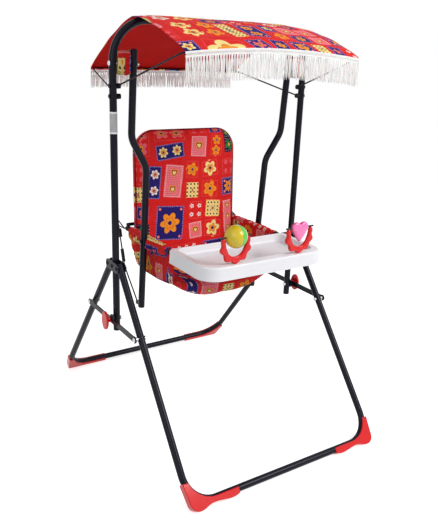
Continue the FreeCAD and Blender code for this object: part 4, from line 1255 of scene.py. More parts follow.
    def header_cord(self, plane: float, drop: float, phase: float) -> bpy.types.Object:
        """One cord of the header, straight along the hem or zigzagging across the header.

        Args:
            plane: where the fringe hangs, along Y.
            drop: how far below the hem the cord's middle runs.
            phase: 0 for a straight cord, 1 or -1 for the two zigzags.

        Returns:
            The cord.
        """
        x = np.linspace(self.left_end, self.fringe_end, 961)
        beat = x * math.tau / self.zigzag
        swing = phase * (self.header / 2 - self.strand) * np.sin(beat)
        depth = phase * self.strand * 0.6 * np.cos(beat * 2)
        path = together(x, plane + depth * self.side.value, self.hem_height(x) + drop + swing)
        return tube("cord", path, self.strand * (0.8 if phase else 1.15), 6, lift=(0, 1, 0))

    def strands(self, x: np.ndarray, plane: float, draw: np.random.Generator) -> bpy.types.Object:
        """All hanging strands at once, drawn together by a few at knots below the header.

        Args:
            x: where the strands start along the hem.
            plane: where they hang, along Y.
            draw: the random numbers.

        Returns:
            One mesh of thin tapered tubes.
        """
        rings, sides = 9, 5
        count = len(x)
        fall = np.linspace(0, 1, rings)
        long = (self.fringe_length - self.header) * draw.uniform(0.92, 1.04, count)
        bundle = np.round(x / self.knot_pitch) * self.knot_pitch
        tie = np.exp(-((fall - 0.1) / 0.12) ** 2)
        lean = draw.normal(0, self.strand_lean, count)[:, None] * fall ** 1.4
        curl = draw.uniform(0.0002, 0.0012, count)[:, None] * np.sin(
            fall * draw.uniform(4, 9, count)[:, None] + draw.uniform(0, math.tau, count)[:, None])
        middle_x = x[:, None] + (bundle - x)[:, None] * tie * 0.55 + lean + curl * fall
        depth = draw.uniform(-self.strand_depth, self.strand_depth, count)[:, None] + curl * 0.8 * fall
        middle_z = (self.hem_height(x) - self.header)[:, None] - long[:, None] * fall
        radius = self.strand * draw.uniform(0.75, 1.1, count)[:, None] * (1 - 0.45 * fall ** 3)
        turn = np.linspace(0, math.tau, sides, endpoint=False)
        ring_x = middle_x[..., None] + radius[..., None] * np.cos(turn)
        ring_y = plane + depth[..., None] + radius[..., None] * np.sin(turn)
        points = together(ring_x, ring_y, middle_z[..., None]).reshape(-1, 3)
        n, i, j = np.meshgrid(np.arange(count), np.arange(rings - 1), np.arange(sides), indexing="ij")
        base = n * rings * sides
        near, far = base + i * sides, base + (i + 1) * sides
        faces = np.stack([near + j, near + (j + 1) % sides, far + (j + 1) % sides, far + j], axis=-1)
        ends = (np.arange(count) * rings * sides)[:, None]
        caps = np.concatenate([ends + np.arange(sides), ends + (rings - 1) * sides + np.arange(sides)])
        mesh = bpy.data.meshes.new("strands")
        mesh.from_pydata(points.tolist(), [], faces.reshape(-1, 4).tolist() + caps.tolist())
        return face_outwards(in_scene("strands", mesh))


# Seat


@dataclass
class SeatBack:
    """Padded seat back: a crowned cushion between two lines of piping."""

    half_width: float = 0.197
    corner: float = 0.078
    low_corner: float = 0.060
    thickness: float = 0.038
    inset: float = 0.004
    proud: float = 0.002
    piping: float = 0.0022
    lean: float = math.radians(2.6)
    voxel: float = 0.005

    def plan(self, inset: float, count: int = 34) -> np.ndarray:
        """Rounded outline across the cushion, in its own upright plane.

        Args:
            inset: how far it is drawn in from the cushion's outside.
            count: points to a corner.

        Returns:
            Closed loop of (x, height over the cushion's foot) pairs.
        """
        low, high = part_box("seat_back")
        half, top = self.half_width - inset, high[2] - low[2] - inset
        large, small = (max(radius - inset / 2, 0.01) for radius in (self.corner, self.low_corner))
        spots = [(half, inset, small, -math.pi / 2), (half, top, large, 0.0),
                 (-half, top, large, math.pi / 2), (-half, inset, small, math.pi)]
        return np.concatenate(rounded_corners(spots, count))

    def placed(self, plan: np.ndarray, depth: "float | np.ndarray") -> np.ndarray:
        """Put points of the cushion's own plane into the frame, with its lean.

        Args:
            plan: (x, height) pairs.
            depth: distance forwards from the cushion's rear face.

        Returns:
            Points in the frame.
        """
        low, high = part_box("seat_back")
        rear_low = high[1] - math.tan(self.lean) * (high[2] - low[2])
        y = plan[..., 1] * math.sin(self.lean) - depth * math.cos(self.lean)
        z = plan[..., 1] * math.cos(self.lean) + depth * math.sin(self.lean)
        return together(plan[..., 0], rear_low + y, low[2] + z)

    def build(self, cloth: bpy.types.Material, piping: bpy.types.Material) -> bpy.types.Object:
        """Make the cushion and its piping.

        Its shell is the outline drawn in by a few insets from its rear face to its front.

        Args:
            cloth: the cushion's material.
            piping: the material of its two cords.

        Returns:
            The cushion.
        """
        thick = self.thickness
        layers = [(self.inset + 0.05, 0.0015), (self.inset + 0.008, 0.0015), (self.inset + 0.003, 0.005),
                  (self.inset + 0.004, thick - 0.014), (self.inset + 0.014, thick - 0.006),
                  (self.inset + 0.05, thick - 0.002), (self.inset + 0.10, thick)]
        pad = shell("seat_back_pad", np.stack([self.placed(self.plan(i), d) for i, d in layers]))
        puffed(pad, self.voxel, 4.0, 0.006)
        low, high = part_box("seat_back")
        fit_to(pad, (low[0] - self.proud, low[1] - 2 * self.proud, low[2]),
               (high[0] + self.proud, high[1] + self.proud, high[2] + self.proud))
        self.print_places(pad.data)
        dress(pad, "print_fabric", cloth)
        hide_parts("seat_back")
        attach(pad, "swing")
        self.build_piping(pad, thick - 0.013, "seat_back_front_piping", piping)
        self.build_piping(pad, 0.004, "seat_back_rear_piping", piping)
        return pad

    def print_places(self, mesh: bpy.types.Mesh) -> None:
        """Lay the print flat on the front and unroll it round the edge."""
        points = coordinates(mesh)
        depth = points[:, 1:2] - points[:, 1].min()
        set_cloth(mesh, (points + vectors(mesh.vertex_normals, "vector") * depth)[:, (0, 2)])

    def build_piping(self, pad: bpy.types.Object, depth: float, name: str,
                     finish: bpy.types.Material) -> None:
        """Lay a cord along the cushion's outside at one depth.

        Each point of the outline is brought in from outside until it meets the cushion.

        Args:
            pad: the finished cushion.
            depth: distance forwards from its rear face.
            name: the cord's name.
            finish: the cord's material.
        """
        tree = BVHTree.FromPolygons([v.co for v in pad.data.vertices],
                                    [tuple(p.vertices) for p in pad.data.polygons])
        outside = self.placed(self.plan(-0.03), depth)
        inside = self.placed(self.plan(self.inset + 0.03), depth)
        path = []
        for a, b in zip(outside, inside):
            start, way = Vector(a), Vector(b - a).normalized()
            hit = tree.ray_cast(start, way)[0]
            path.append(np.array(hit if hit is not None else b))
        path = np.array(path)
        keep = np.linalg.norm(path - np.roll(path, 1, axis=0), axis=1) > 0.0006
        path = evened(path[keep], 3)
        cord = tube(name, path, self.piping, 10, loop=True, lift=(0, 1, 0))
        dress(cord, "print_fabric", finish)
        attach(cord, "swing")


@dataclass
class SeatPan:
    """Padded seat that hangs between the sides like a sling."""

    half_width: float = 0.1965
    edge_height: float = 0.524
    edge_thickness: float = 0.014
    thickness: float = 0.040
    front_sag: float = 0.058
    middle_sag: float = 0.070
    rear_sag: float = 0.054
    fullness: float = 2.6
    lowest: float = 0.4520
    voxel: float = 0.005

    def build(self, cloth: bpy.types.Material) -> bpy.types.Object:
        """Make the seat.

        Across the seat the underside sags by one less a power of the distance from the middle,
        and the top runs over it. The sag changes evenly from rear to front, where a rounded
        nose closes it.

        Args:
            cloth: the material.

        Returns:
            The seat.
        """
        low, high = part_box("seat_pan")
        front, rear = low[1] + 0.003, high[1] - 0.001
        y = np.concatenate([np.linspace(rear, front + 0.010, 14), [front + 0.004, front]])
        share = np.clip((rear - y) / (rear - front), 0, 1)
        sag = np.interp(share, (0, 0.5, 1), (self.rear_sag, self.middle_sag, self.front_sag))
        nose = np.interp(y - front, (0.0, 0.004, 0.010), (0.55, 0.82, 1.0))
        x = np.linspace(-1, 1, 41)
        bow = 1 - np.abs(x) ** self.fullness
        middle = self.edge_height + self.edge_thickness / 2 - (
            sag - self.thickness / 2 + self.edge_thickness / 2)[:, None] * bow
        half = (self.edge_thickness / 2 + (self.thickness - self.edge_thickness) / 2 * bow) * nose[:, None]
        under, over = (together(x * self.half_width, y[:, None], z) for z in (middle - half, middle + half))
        seat = shell("seat_pan_pad", np.concatenate([under, over[:, ::-1]], axis=1))
        puffed(seat, self.voxel, 4.0, 0.004)
        fit_to(seat, (-self.half_width, low[1] - 0.001, self.lowest), (self.half_width, high[1], high[2]))
        points = coordinates(seat.data)
        set_cloth(seat.data, together(points[:, 0] * 1.06, points[:, 2] * 1.4 - points[:, 1]))
        dress(seat, "print_fabric", cloth)
        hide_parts("seat_pan")
        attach(seat, "swing")
        return seat


@dataclass
class SideCover:
    """Cloth side of the seat: a loose sleeve over the arm and a panel down to the seat."""

    hand: Hand
    sleeve_radius: float = 0.0128
    puff: float = 0.0105
    squash: float = 0.1
    panel: float = 0.0045
    flap: float = 0.043
    flap_front: float = 0.026
    fold: float = 0.0042
    short: float = 0.009
    flare: float = 0.010
    hem_y: tuple[float, float, float] = (-0.05, 0.0, 0.124)
    hem_z: tuple[float, ...] = (0.530, 0.523, 0.518, 0.516, 0.585)
    hanger_x: float = 0.231
    hanger_radius: float = 0.011
    hanger_gap: float = 0.0008
    hanger_lean: float = math.radians(4.6)
    piping: float = 0.0027
    left_over: float = 0.017

    def build(self, cloth: bpy.types.Material, piping: bpy.types.Material) -> bpy.types.Object:
        """Make the cover.

        At each place along the arm its section is a half oval over the arm. The outer side
        bulges past the arm and draws in to the panel over the flap's depth, and the inner side
        falls straight. The panel flares at its rear end, and its hem follows a few heights.

        Args:
            cloth: the cover's material.
            piping: the material of the cord along its lower edge.

        Returns:
            The cover.
        """
        node = f"side_cover_{self.hand.word}"
        low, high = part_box(node)
        arm_x, _, arm_z = np.abs(middle_of(f"arm_{self.hand.word}"))
        start = low[1] - (self.left_over if self.hand is Hand.LEFT else 0)
        end = high[1] - self.short
        y = np.linspace(start, end, 151)
        share = (y - start) / (end - start)
        flap = self.flap_front + (self.flap - self.flap_front) * smooth_step(share, 0.02, 0.5)
        bottom = np.interp(y, (start, *self.hem_y, end), self.hem_z)
        inner = arm_x - self.sleeve_radius
        over = np.linspace(0, np.pi, 21)
        fall = np.linspace(0, 1, 40)[1:]
        swell = self.puff * np.sin(np.pi * np.clip(share * 1.04 - 0.01, 0, 1)) ** 0.6
        swell = swell * (0.8 + 0.2 * np.sin(y * 70 + 1.2 * self.hand.value))
        outer = self.sleeve_radius + swell
        reach = np.where(np.cos(over) > 0, self.sleeve_radius, outer[:, None])
        top_x = arm_x - reach * np.cos(over)
        top_z = arm_z + (self.sleeve_radius + swell * self.squash)[:, None] * np.sin(over)
        outer_z = arm_z - fall * (arm_z - bottom)[:, None]
        draw_in = smooth_step((arm_z - outer_z) / flap[:, None], 0.4, 1.0)
        outer_start = arm_x + outer[:, None]
        panel_face = inner + self.panel + self.flare * smooth_step(y, 0.12, 0.16)[:, None]
        outer_x = outer_start + (panel_face - outer_start) * draw_in
        x = np.concatenate([top_x, outer_x, np.full_like(outer_z, inner)], axis=1)
        z = np.concatenate([top_z, outer_z, outer_z[:, ::-1]], axis=1)
        bare = smooth_step(x, inner + 0.001, arm_x) + 0.25 * (x > inner + 0.001)
        ends = smooth_step(np.minimum(share, 1 - share), 0.0, 0.06)[:, None]
        x = x + self.fold * self.creases(y[:, None], z, arm_z) * bare * ends
        x = np.minimum(x, self.hanger_clear(y, z))
        points = together(self.hand.value * x, y[:, None], z)
        across = np.linalg.norm(np.diff(points, axis=1, append=points[:, :1]), axis=2)
        run = np.concatenate([np.zeros((len(y), 1)), np.cumsum(across, axis=1)], axis=1)
        cloth_map = together(y[:, None], -run + 0.04 * self.hand.value)
        cover = shell(f"side_cloth_{self.hand.word}", points, cloth_map)
        dress(cover, "print_fabric", cloth)
        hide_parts(node)
        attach(cover, "swing")
        path = together(self.hand.value * (inner + self.panel / 2), y, bottom)[14:-2]
        cord = tube(f"side_piping_{self.hand.word}", path, self.piping, 10)
        dress(cord, "print_fabric", piping)
        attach(cord, "swing")
        return cover

    @staticmethod
    def creases(y: np.ndarray, z: np.ndarray, arm_z: float) -> np.ndarray:
        """Relief of the folds: slanting waves, and a sharp crease at each peak of a slower one.

        Args:
            y: places along the arm.
            z: heights of the section's points.
            arm_z: height of the arm.

        Returns:
            About -1 to 1 for each point, as a share of the fold's depth.
        """
        slant = y + 0.9 * (z - arm_z)
        waves = 0.8 * np.sin(slant * 165) + 0.6 * np.sin(slant * 91 + z * 60) + 0.4 * np.sin(y * 310)
        return 0.5 * (waves - 1.1 * np.abs(np.sin(slant * 57 + 0.8)) ** 8)

    def hanger_clear(self, y: np.ndarray, z: np.ndarray) -> np.ndarray:
        """The furthest out that the cover may reach beside the hanger tube.

        The tube runs down from its cap and leans forwards by a few degrees below its bend, so
        its middle line is found from the box of the arm's bolt and from that lean.

        Args:
            y: places along the arm.
            z: heights of the section's points.

        Returns:
            The limit for each point, which is only tight beside the tube.
        """
        _, bolt_y, bolt_z = middle_of("arm_bolts")
        axis_y = bolt_y - (z - bolt_z) * math.tan(self.hanger_lean)
        away = np.abs(y[:, None] - axis_y)
        reach = self.hanger_radius + self.hanger_gap
        inside = np.sqrt(np.maximum(reach ** 2 - away ** 2, 0))
        return np.where(away < reach, self.hanger_x - inside, 1.0)


@dataclass
class PivotGuard:
    """Soft printed guard round the spacer between a post and a hanger."""

    hand: Hand
    inner_end: float = 0.2975
    bore: float = 0.0092
    foot_up: float = 0.010
    power: float = 0.5
    pucker: float = 0.0012
    girth: float = 0.2

    def build(self, cloth: bpy.types.Material) -> bpy.types.Object:
        """Make the guard.

        Its section is a superellipse whose size swells from the ends to the middle, closed by
        flat ends down to the bore.

        Args:
            cloth: the material.

        Returns:
            The guard.
        """
        low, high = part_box("pivot_guards")
        pivot = middle_of("pivot_bolts")[2]
        start, end = self.inner_end, abs(high[0])
        foot = low[2] + self.foot_up
        middle, half = (foot + high[2]) / 2, (high[2] - foot) / 2
        deep = half_of("pivot_guards")[1]
        turn = np.linspace(0, math.tau, 56, endpoint=False)
        x = np.array([0, 0, 0.02, 0.1, 0.3, 0.5, 0.7, 0.9, 0.98, 1, 1])
        size = np.array([0.0, 0.80, 0.9, 0.97, 1.0, 0.985, 1.0, 0.97, 0.9, 0.80, 0.0])
        outline_y = deep * signed_power(np.cos(turn), self.power)
        outline_z = half * signed_power(np.sin(turn), self.power)
        bore_y, bore_z = self.bore * np.cos(turn), pivot - middle + self.bore * np.sin(turn)
        grow = size[:, None]
        y = np.where(grow == 0, bore_y, outline_y * grow)
        z = middle + np.where(grow == 0, bore_z, outline_z * grow)
        z = z + self.pucker * np.sin(x[:, None] * 14) * (grow > 0)
        out = self.hand.value * (start + (end - start) * x)[:, None]
        cloth_map = together(out, np.linspace(0, self.girth, len(turn) + 1))
        guard = face_outwards(grid_mesh(f"pivot_guard_{self.hand.word}", together(out, y, z), cloth_map,
                                        around=True))
        dress(guard, "print_fabric", cloth)
        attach(guard, "stand")
        return guard


# Tray and toys


@dataclass
class Tray:
    """White moulded tray: a rounded lip, a ledge and a sunk floor."""

    half_width: float = 0.2245
    corner: float = 0.060
    back_corner: float = 0.016
    ledge_side: float = 0.0246
    ledge_front: float = 0.036
    ledge_back: float = 0.012
    recess_corner: float = 0.030
    least_corner: float = 0.004
    recess_depth: float = 0.024
    wall: float = 0.0028
    edge: float = 0.006
    roll: float = 0.004
    bowl: float = 0.009
    arm_x: float = 0.211
    arm_gap: float = 0.0006
    passage: float = 0.009
    passage_foot: float = 0.6

    def ring(self, share: float, inset: float, height: float) -> np.ndarray:
        """Rounded outline between the tray's outside and its recess.

        Args:
            share: 0 at the outside and 1 at the recess's edge.
            inset: how far it is drawn in further.
            height: its height.

        Returns:
            Closed loop of points.
        """
        low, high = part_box("tray")
        half = self.half_width - share * self.ledge_side - inset
        front = low[1] + share * self.ledge_front + inset
        back = high[1] - share * self.ledge_back - inset
        wide = self.corner + (self.recess_corner - self.corner) * share - inset * 0.6
        small = self.back_corner + (self.recess_corner * 0.8 - self.back_corner) * share - inset * 0.4
        wide, small = max(wide, self.least_corner), max(small, self.least_corner)
        corners = rounded_corners([(half, back, small, 0.0), (-half, back, small, math.pi / 2),
                                   (-half, front, wide, math.pi), (half, front, wide, 1.5 * math.pi)], 15)
        along = np.linspace(0, 1, 14)[1:-1, None]
        pieces = []
        for corner, after in zip(corners, corners[1:] + corners[:1]):
            pieces += [corner, corner[-1] + (after[0] - corner[-1]) * along]
        loop = np.concatenate(pieces)
        return np.column_stack([loop, np.full(len(loop), height)])

    def build(self, plastic: bpy.types.Material) -> bpy.types.Object:
        """Make the tray.

        Its skins are profiles of insets and heights carried round the outline. The outer one
        runs up the lip, over a rounded edge, across the ledge, down the recess's wall and out
        on the floor, and the inner one follows it a wall's thickness inside. Then the passages
        for the arms are cut.

        Args:
            plastic: the material.

        Returns:
            The tray.
        """
        low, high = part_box("tray")
        base, top = low[2], high[2]
        floor = top - self.recess_depth
        turn = np.linspace(0, np.pi / 2, 7)
        edge, roll, bowl = self.edge, self.roll, self.bowl
        outer = [(0.0, 0.0, base), (0.0, 0.0001, base + 0.001), (0.0, 0.001, top - edge - 0.004)]
        outer += [(0.0, 0.001 + edge * (1 - math.cos(a)), top - edge + edge * math.sin(a)) for a in turn]
        outer += [(0.5, 0.002, top), (1.0, -roll - 0.001, top)]
        outer += [(1.0, -roll + roll * math.sin(a), top - roll + roll * math.cos(a)) for a in turn]
        outer += [(1.0, 0.002, (top + floor) / 2)]
        outer += [(1.0, 0.003 + bowl * (1 - math.cos(a)), floor + bowl - bowl * math.sin(a))
                  for a in turn]
        outer += [(1.0, 0.03, floor), (1.0, 0.06, floor)]
        wall = self.wall
        under, side = top - wall, 0.003 - wall
        inner = [(0.0, wall, base), (0.0, wall, base + 0.001), (0.0, wall + 0.001, under - edge)]
        inner += [(0.0, wall + 0.004, under - 0.001), (0.5, 0.002, under), (1.0, side - 0.004, under)]
        inner += [(1.0, side, under - 0.004), (1.0, side, floor + bowl)]
        inner += [(1.0, side + bowl * 0.3, floor), (1.0, side + bowl, floor - wall)]
        inner += [(1.0, 0.03, floor - wall), (1.0, 0.06, floor - wall)]
        tray = shell("tray_shell", np.stack([self.ring(*step) for step in outer[::-1] + inner]))
        self.cut_passages(tray, high)
        tray.data.shade_smooth()
        tray.data.set_sharp_from_angle(angle=math.radians(50))
        dress(tray, "white_plastic", plastic)
        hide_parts("tray")
        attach(tray, "tray")
        return tray

    def cut_passages(self, tray: bpy.types.Object, high: Sequence[float]) -> None:
        """Cut the slots in the back of the lip that slide over the arms."""
        radius = half_of("arm_right")[2] + self.arm_gap
        arch = (0.0, middle_of("arm_right")[2]) + radius * unit_circle(np.linspace(0, np.pi, 25))
        outline = np.concatenate([arch, [[-radius, self.passage_foot], [radius, self.passage_foot]]])
        ends = np.array([[high[1] + self.passage], [high[1] - self.passage]])
        for hand in Hand:
            tool = shell("tool", together(hand.value * self.arm_x + outline[:, 0], ends, outline[:, 1]))
            add_modifier(tray, "BOOLEAN", operation="DIFFERENCE", object=tool, solver="EXACT")
            baked(tray)
            bpy.data.objects.remove(tool)


@dataclass
class ToyRing:
    """Red open-topped ring with a scalloped outside that holds a toy's axle."""

    node: str
    middle: float = 0.0430
    half: float = 0.0068
    lobe: float = 0.0038
    thicker: float = 0.0055
    thicker_below: tuple[float, float] = (0.012, 0.040)
    lobe_step: float = math.radians(39)
    centre_z: float = 0.7043
    softness: float = 0.6

    def build(self, plastic: bpy.types.Material) -> bpy.types.Object:
        """Make the ring.

        Its middle line runs down one arm, round a half circle and up the other arm. The
        section is a superellipse whose outer side swells once for each lobe.

        Args:
            plastic: the material.

        Returns:
            The ring.
        """
        centre = middle_of(self.node)
        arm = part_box(self.node)[1][2] - self.centre_z - self.half
        bend = np.linspace(np.pi, math.tau, 145)
        rise = np.linspace(1, 0, 20)[:-1] * arm
        level = np.tile([1.0, 0.0], (len(rise), 1))
        out = np.concatenate([-level, unit_circle(bend), level])
        line = self.middle * out
        line[:len(rise), 1], line[-len(rise):, 1] = rise, rise[::-1]
        step = np.linalg.norm(np.diff(line, axis=0), axis=1)
        along = np.concatenate([[0], np.cumsum(step)])
        phase = (along - along[-1] / 2) / (self.lobe_step * self.middle)
        fade = np.minimum(smooth_step(along, arm * 0.3, arm * 0.9),
                          smooth_step(along[-1] - along, arm * 0.3, arm * 0.9))
        swell = self.half - 0.001 + fade * self.lobe * (0.4 + np.cos(math.tau * phase))
        round_end = np.sqrt(np.clip(np.minimum(along, along[-1] - along) / self.half, 0.02, 1))
        turn = np.linspace(0, math.tau, 28, endpoint=False)
        flat = signed_power(np.cos(turn), self.softness)
        thick = signed_power(np.sin(turn), self.softness)
        below = arm - line[:, 1]
        inward = self.half + self.thicker * smooth_step(below, *self.thicker_below)
        outward = np.where(flat > 0, swell[:, None], inward[:, None]) * flat * round_end[:, None]
        half_thick = half_of(self.node)[1]
        x = centre[0] + line[:, :1] + out[:, :1] * outward
        z = self.centre_z + line[:, 1:] + out[:, 1:] * outward
        y = centre[1] + half_thick * thick * np.sqrt(round_end)[:, None]
        ring = shell(self.node + "_moulding", together(x, y, z))
        dress(ring, "red_plastic", plastic)
        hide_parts(self.node)
        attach(ring, "tray")
        return ring


@dataclass
class SpinBall:
    """Gloss ball that spins on its axle, with grooves where its parts meet."""

    seams: tuple[float, ...] = (-0.5, 0.08, 0.66)
    groove: float = 0.0007
    groove_width: float = 0.018

    def build(self, plastic: bpy.types.Material) -> bpy.types.Object:
        """Make the ball: a half circle turned about the axle, less a narrow bell at each seam.

        Args:
            plastic: the material.

        Returns:
            The ball.
        """
        centre = middle_of("spin_ball")
        reach, _, radius = half_of("spin_ball")
        angle = np.linspace(0.02, np.pi - 0.02, 90)
        along = np.clip(radius * -np.cos(angle), -reach, reach)
        away = [(along / radius - seam) / self.groove_width for seam in self.seams]
        size = radius * np.sin(angle) - self.groove * sum(np.exp(-step ** 2) for step in away)
        turn = np.linspace(0, math.tau, 72, endpoint=False)
        ball = shell("ball_shell", centre + together(along[:, None], size[:, None] * np.cos(turn),
                                                     size[:, None] * np.sin(turn)))
        dress(ball, "yellow_plastic", plastic)
        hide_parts("spin_ball")
        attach(ball, "ball")
        return ball


@dataclass
class SpinHeart:
    """Pink heart that spins on its axle. Its outline's sizes are shares of half its width."""

    lobe_across: float = 0.46
    lobe_up: float = 0.6
    lobe_radius: float = 0.54
    lobe_from: float = math.radians(148.4)
    lobe_to: float = math.radians(-36)
    tip: float = -0.95
    flank_bow: float = 0.05
    middle_up: float = 0.58
    rim_power: float = 0.62
    depth_power: float = 0.9

    def outline(self) -> np.ndarray:
        """Outline of the heart.

        A circle for each lobe goes over into a straight flank down to the tip, bowed out a
        little. Averaging each point with its neighbours rounds the tip and the cleft.

        Returns:
            Closed loop of points, from 0 to 1 across and up.
        """
        turn = np.linspace(self.lobe_from, self.lobe_to, 44)
        lobe = (self.lobe_across, self.lobe_up) + self.lobe_radius * unit_circle(turn)
        share = np.linspace(0, 1, 24)[1:, None]
        bow = self.flank_bow * np.sin(np.pi * share) * unit_circle(self.lobe_to)
        right = np.concatenate([lobe, lobe[-1] + (np.array([0.0, self.tip]) - lobe[-1]) * share + bow])
        loop = np.concatenate([right, (right * (-1, 1))[::-1][1:-1]])
        loop = evened(loop, 5)
        return (loop - loop.min(axis=0)) / (loop.max(axis=0) - loop.min(axis=0))

    def build(self, plastic: bpy.types.Material) -> bpy.types.Object:
        """Make the heart: its outline, drawn in towards the middle while its depth grows.

        Args:
            plastic: the material.

        Returns:
            The heart.
        """
        low, high = (np.array(corner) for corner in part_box("spin_heart"))
        across, up = (low[[0, 2]] + self.outline() * (high - low)[[0, 2]]).T
        middle_x, middle_y, _ = middle_of("spin_heart")
        middle_z = low[2] + self.middle_up * (high[2] - low[2])
        half = half_of("spin_heart")[1]
        lean = np.linspace(-np.pi / 2, np.pi / 2, 41)[:, None]
        size = np.clip(np.cos(lean), 0.001, 1) ** self.rim_power
        depth = signed_power(np.sin(lean), self.depth_power)
        heart = shell("heart_shell", together(middle_x + (across - middle_x) * size, middle_y + half * depth,
                                              middle_z + (up - middle_z) * size))
        # The edge attribute is 1 round the rim and 0 on the faces; the heart's material paints shade where
        # it is high.
        edge = heart.data.attributes.new("edge", "FLOAT", "POINT")
        spread = np.abs(coordinates(heart.data)[:, 1] - middle_y) / half
        edge.data.foreach_set("value", (1 - spread ** 2).astype(np.float32))
        dress(heart, "pink_plastic", plastic)
        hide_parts("spin_heart")
        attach(heart, "heart")
        return heart


# Frame, room and main


@dataclass(frozen=True)
class Room:
    """Floor, light and camera."""

    lens: float = 51.72
    camera_at: tuple[float, float, float] = (-1.1123, -1.7336, 1.2256)
    camera_right: tuple[float, float, float] = (0.8395, -0.5422, 0.0364)
    camera_up: tuple[float, float, float] = (0.1440, 0.2864, 0.9472)
    floor_size: float = 9.0
    floor_white: float = 0.82
    floor_glow: float = 0.62
    world_light: float = 0.5

    def build(self) -> None:
        """Make the floor, the world's light, two soft lamps and the camera."""
        self.build_floor()
        self.build_world()
        self.lamp("key", (1.9, -2.9, 3.2), size=2.0, power=120.0)
        self.lamp("fill", (-2.9, -1.8, 2.4), size=2.4, power=26.0)
        camera = in_scene("camera", bpy.data.cameras.new("camera"))
        camera.data.sensor_fit = "HORIZONTAL"
        camera.data.lens = self.lens
        right, up = Vector(self.camera_right).normalized(), Vector(self.camera_up)
        back = right.cross(up).normalized()
        up = back.cross(right)
        turn = Matrix((right, up, back)).transposed()
        camera.matrix_world = Matrix.Translation(self.camera_at) @ turn.to_4x4()
        bpy.context.scene.camera = camera

    def lamp(self, name: str, place: tuple[float, float, float], size: float, power: float) -> None:
        """Add a square soft lamp that faces the middle of the swing."""
        data = bpy.data.lights.new(name, "AREA")
        data.energy, data.size = power, size
        lamp = in_scene(name, data)
        lamp.location = place
        lamp.rotation_euler = (Vector((0, 0, 0.7)) - Vector(place)).to_track_quat("-Z", "Y").to_euler()

    @staticmethod
    def seen_straight(tree: bpy.types.NodeTree) -> Term:
        """1 for rays from the camera and for reflected and refracted ones, else 0."""
        path = tree.nodes.new("ShaderNodeLightPath")
        seen = Term(tree, path.outputs["Is Camera Ray"])
        for kind in ("Is Glossy Ray", "Is Transmission Ray"):
            seen = seen.larger(Term(tree, path.outputs[kind]))
        return seen

    def build_floor(self) -> None:
        """Add a pale floor that the camera sees nearly white, with the swing's shadow."""
        half = self.floor_size / 2
        corners = np.array([[[-half, -half, 0], [half, -half, 0]], [[-half, half, 0], [half, half, 0]]])
        floor = grid_mesh("floor", corners)
        material = bpy.data.materials.new("pale_floor")
        material.use_nodes = True
        tree = material.node_tree
        tree.nodes.clear()
        out = tree.nodes.new("ShaderNodeOutputMaterial")
        plain = tree.nodes.new("ShaderNodeBsdfDiffuse")
        plain.inputs["Color"].default_value = (*[self.floor_white] * 3, 1)
        glow = tree.nodes.new("ShaderNodeEmission")
        feed(tree, glow.inputs["Strength"], self.seen_straight(tree) * self.floor_glow)
        add = tree.nodes.new("ShaderNodeAddShader")
        for slot, maker in ((add.inputs[0], plain), (add.inputs[1], glow), (out.inputs["Surface"], add)):
            feed(tree, slot, maker.outputs[0])
        floor.data.materials.append(material)

    def build_world(self) -> None:
        """Light the swing evenly, and show white behind it."""
        world = bpy.data.worlds.new("studio")
        bpy.context.scene.world = world
        world.use_nodes = True
        tree = world.node_tree
        background = tree.nodes["Background"]
        background.inputs["Color"].default_value = (1.0, 1.0, 1.0, 1)
        strength = self.seen_straight(tree) * (1 - self.world_light) + self.world_light
        feed(tree, background.inputs["Strength"], strength)


def dress_frame(finishes: dict[str, bpy.types.Material]) -> None:
    """Give every node that stays in sight its finish.

    Args:
        finishes: a material for each slot of the record.
    """
    slots = {part["node"]: part["material_slot"] for part in frame["record"]["subparts"]}
    for name, node in frame["nodes"].items():
        if node.hide_render:
            continue
        if not node.material_slots:
            node.data.materials.append(None)
        for slot in node.material_slots:
            slot.material = finishes[slots[name]]


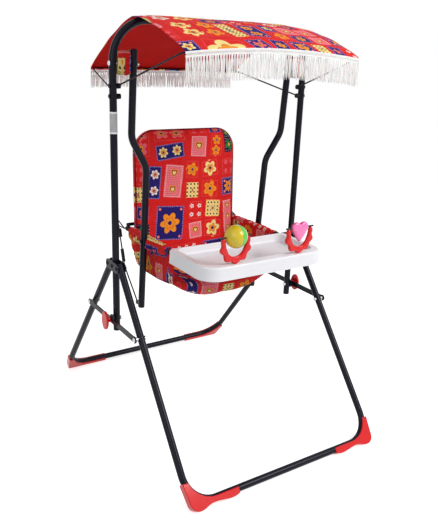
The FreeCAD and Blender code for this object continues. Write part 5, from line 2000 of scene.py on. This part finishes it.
def main() -> None:
    """Build the looks round the frame, in order, and the room."""
    bpy.context.scene.view_settings.view_transform = "Standard"
    enamel = Enamel("black_enamel", (0.006, 0.006, 0.014)).material()
    zinc = Plated("zinc").material()
    black = Moulded("black_plastic", (0.008, 0.008, 0.011), 0.35, coat=0.05, shine=0.2).material()
    red = Moulded("red_plastic", (0.66, 0.008, 0.010), 0.18, coat=0.25, shine=0.2).material()
    white = Moulded("white_plastic", (0.74, 0.74, 0.77), 0.3, coat=0.15, through=0.04, cloud=0.08,
                    shine=0.3).material()
    label_low, label_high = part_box("blank_label")
    film = Film("label_film", label_low[2], label_high[2]).material()
    yarn = Yarn("fringe_yarn").material()
    printed = PrintedCloth("patchwork", tone_and_painted_shade=0.93).material()
    seat_print = PrintedCloth("seat_patchwork", seed=11.0).material()
    # A darker copy of the seat back's print: painted shade for the seat pan and side covers, which lie in
    # shadow.
    painted_shade_print = PrintedCloth("side_patchwork_painted_shade", tone_and_painted_shade=0.78, seed=11.0).material()
    lining = PlainCloth("red_lining", (0.50, 0.007, 0.005)).material()
    # Dark red piping: partly the cord's own colour, partly painted shade along the seat back's edge.
    piping = PlainCloth("dark_piping_and_painted_edge_shade", (0.16, 0.004, 0.008)).material()

    halves = [Canopy(Side.FRONT, reach=0.305, wire_height=1.226, arch=0.018, fringe_length=0.078,
                     left_end=-0.292, right_end=0.301, fringe_end=0.301),
              Canopy(Side.BACK, reach=0.305, wire_height=1.166, arch=0.003, fringe_length=0.062,
                     left_end=-0.291, right_end=0.288, fringe_end=0.262)]
    for half in halves:
        body = f"canopy_{half.side.word}_bow"
        fringe = half.build_fringe(yarn, body)
        cloth = half.build_cloth(printed, lining, body)
        out, up = half.profile(np.array([0.0]))

    SeatBack().build(seat_print, piping)
    # The seat pan and the side covers take the darker print, which is painted shade.
    SeatPan().build(painted_shade_print)
    for hand in Hand:
        SideCover(hand).build(painted_shade_print, piping)
    # A darker print for the pivot guards: painted shade for the canopy's shadow on them.
    guard_painted_shade_print = PrintedCloth("guard_patchwork_painted_shade", tone_and_painted_shade=0.7, seed=4.0, pitch=0.085).material()
    guards = [PivotGuard(hand).build(guard_painted_shade_print) for hand in Hand]
    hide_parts("pivot_guards")
    Tray().build(white)
    for node in ("ball_ring", "heart_ring"):
        ToyRing(node).build(red)
    ball = BallPlastic("ball_plastic", middle_of("spin_ball")[0], half_of("spin_ball")[2])
    SpinBall().build(ball.material())
    SpinHeart().build(HeartPlastic("heart_plastic").material())

    dress_frame({"frame_tube": enamel, "bright_steel": zinc, "black_plastic": black, "red_plastic": red,
                 "white_plastic": white, "label_film": film})
    Room().build()


if __name__ == "__main__":
    logging.basicConfig(level=logging.INFO, format="%(message)s")
    main()
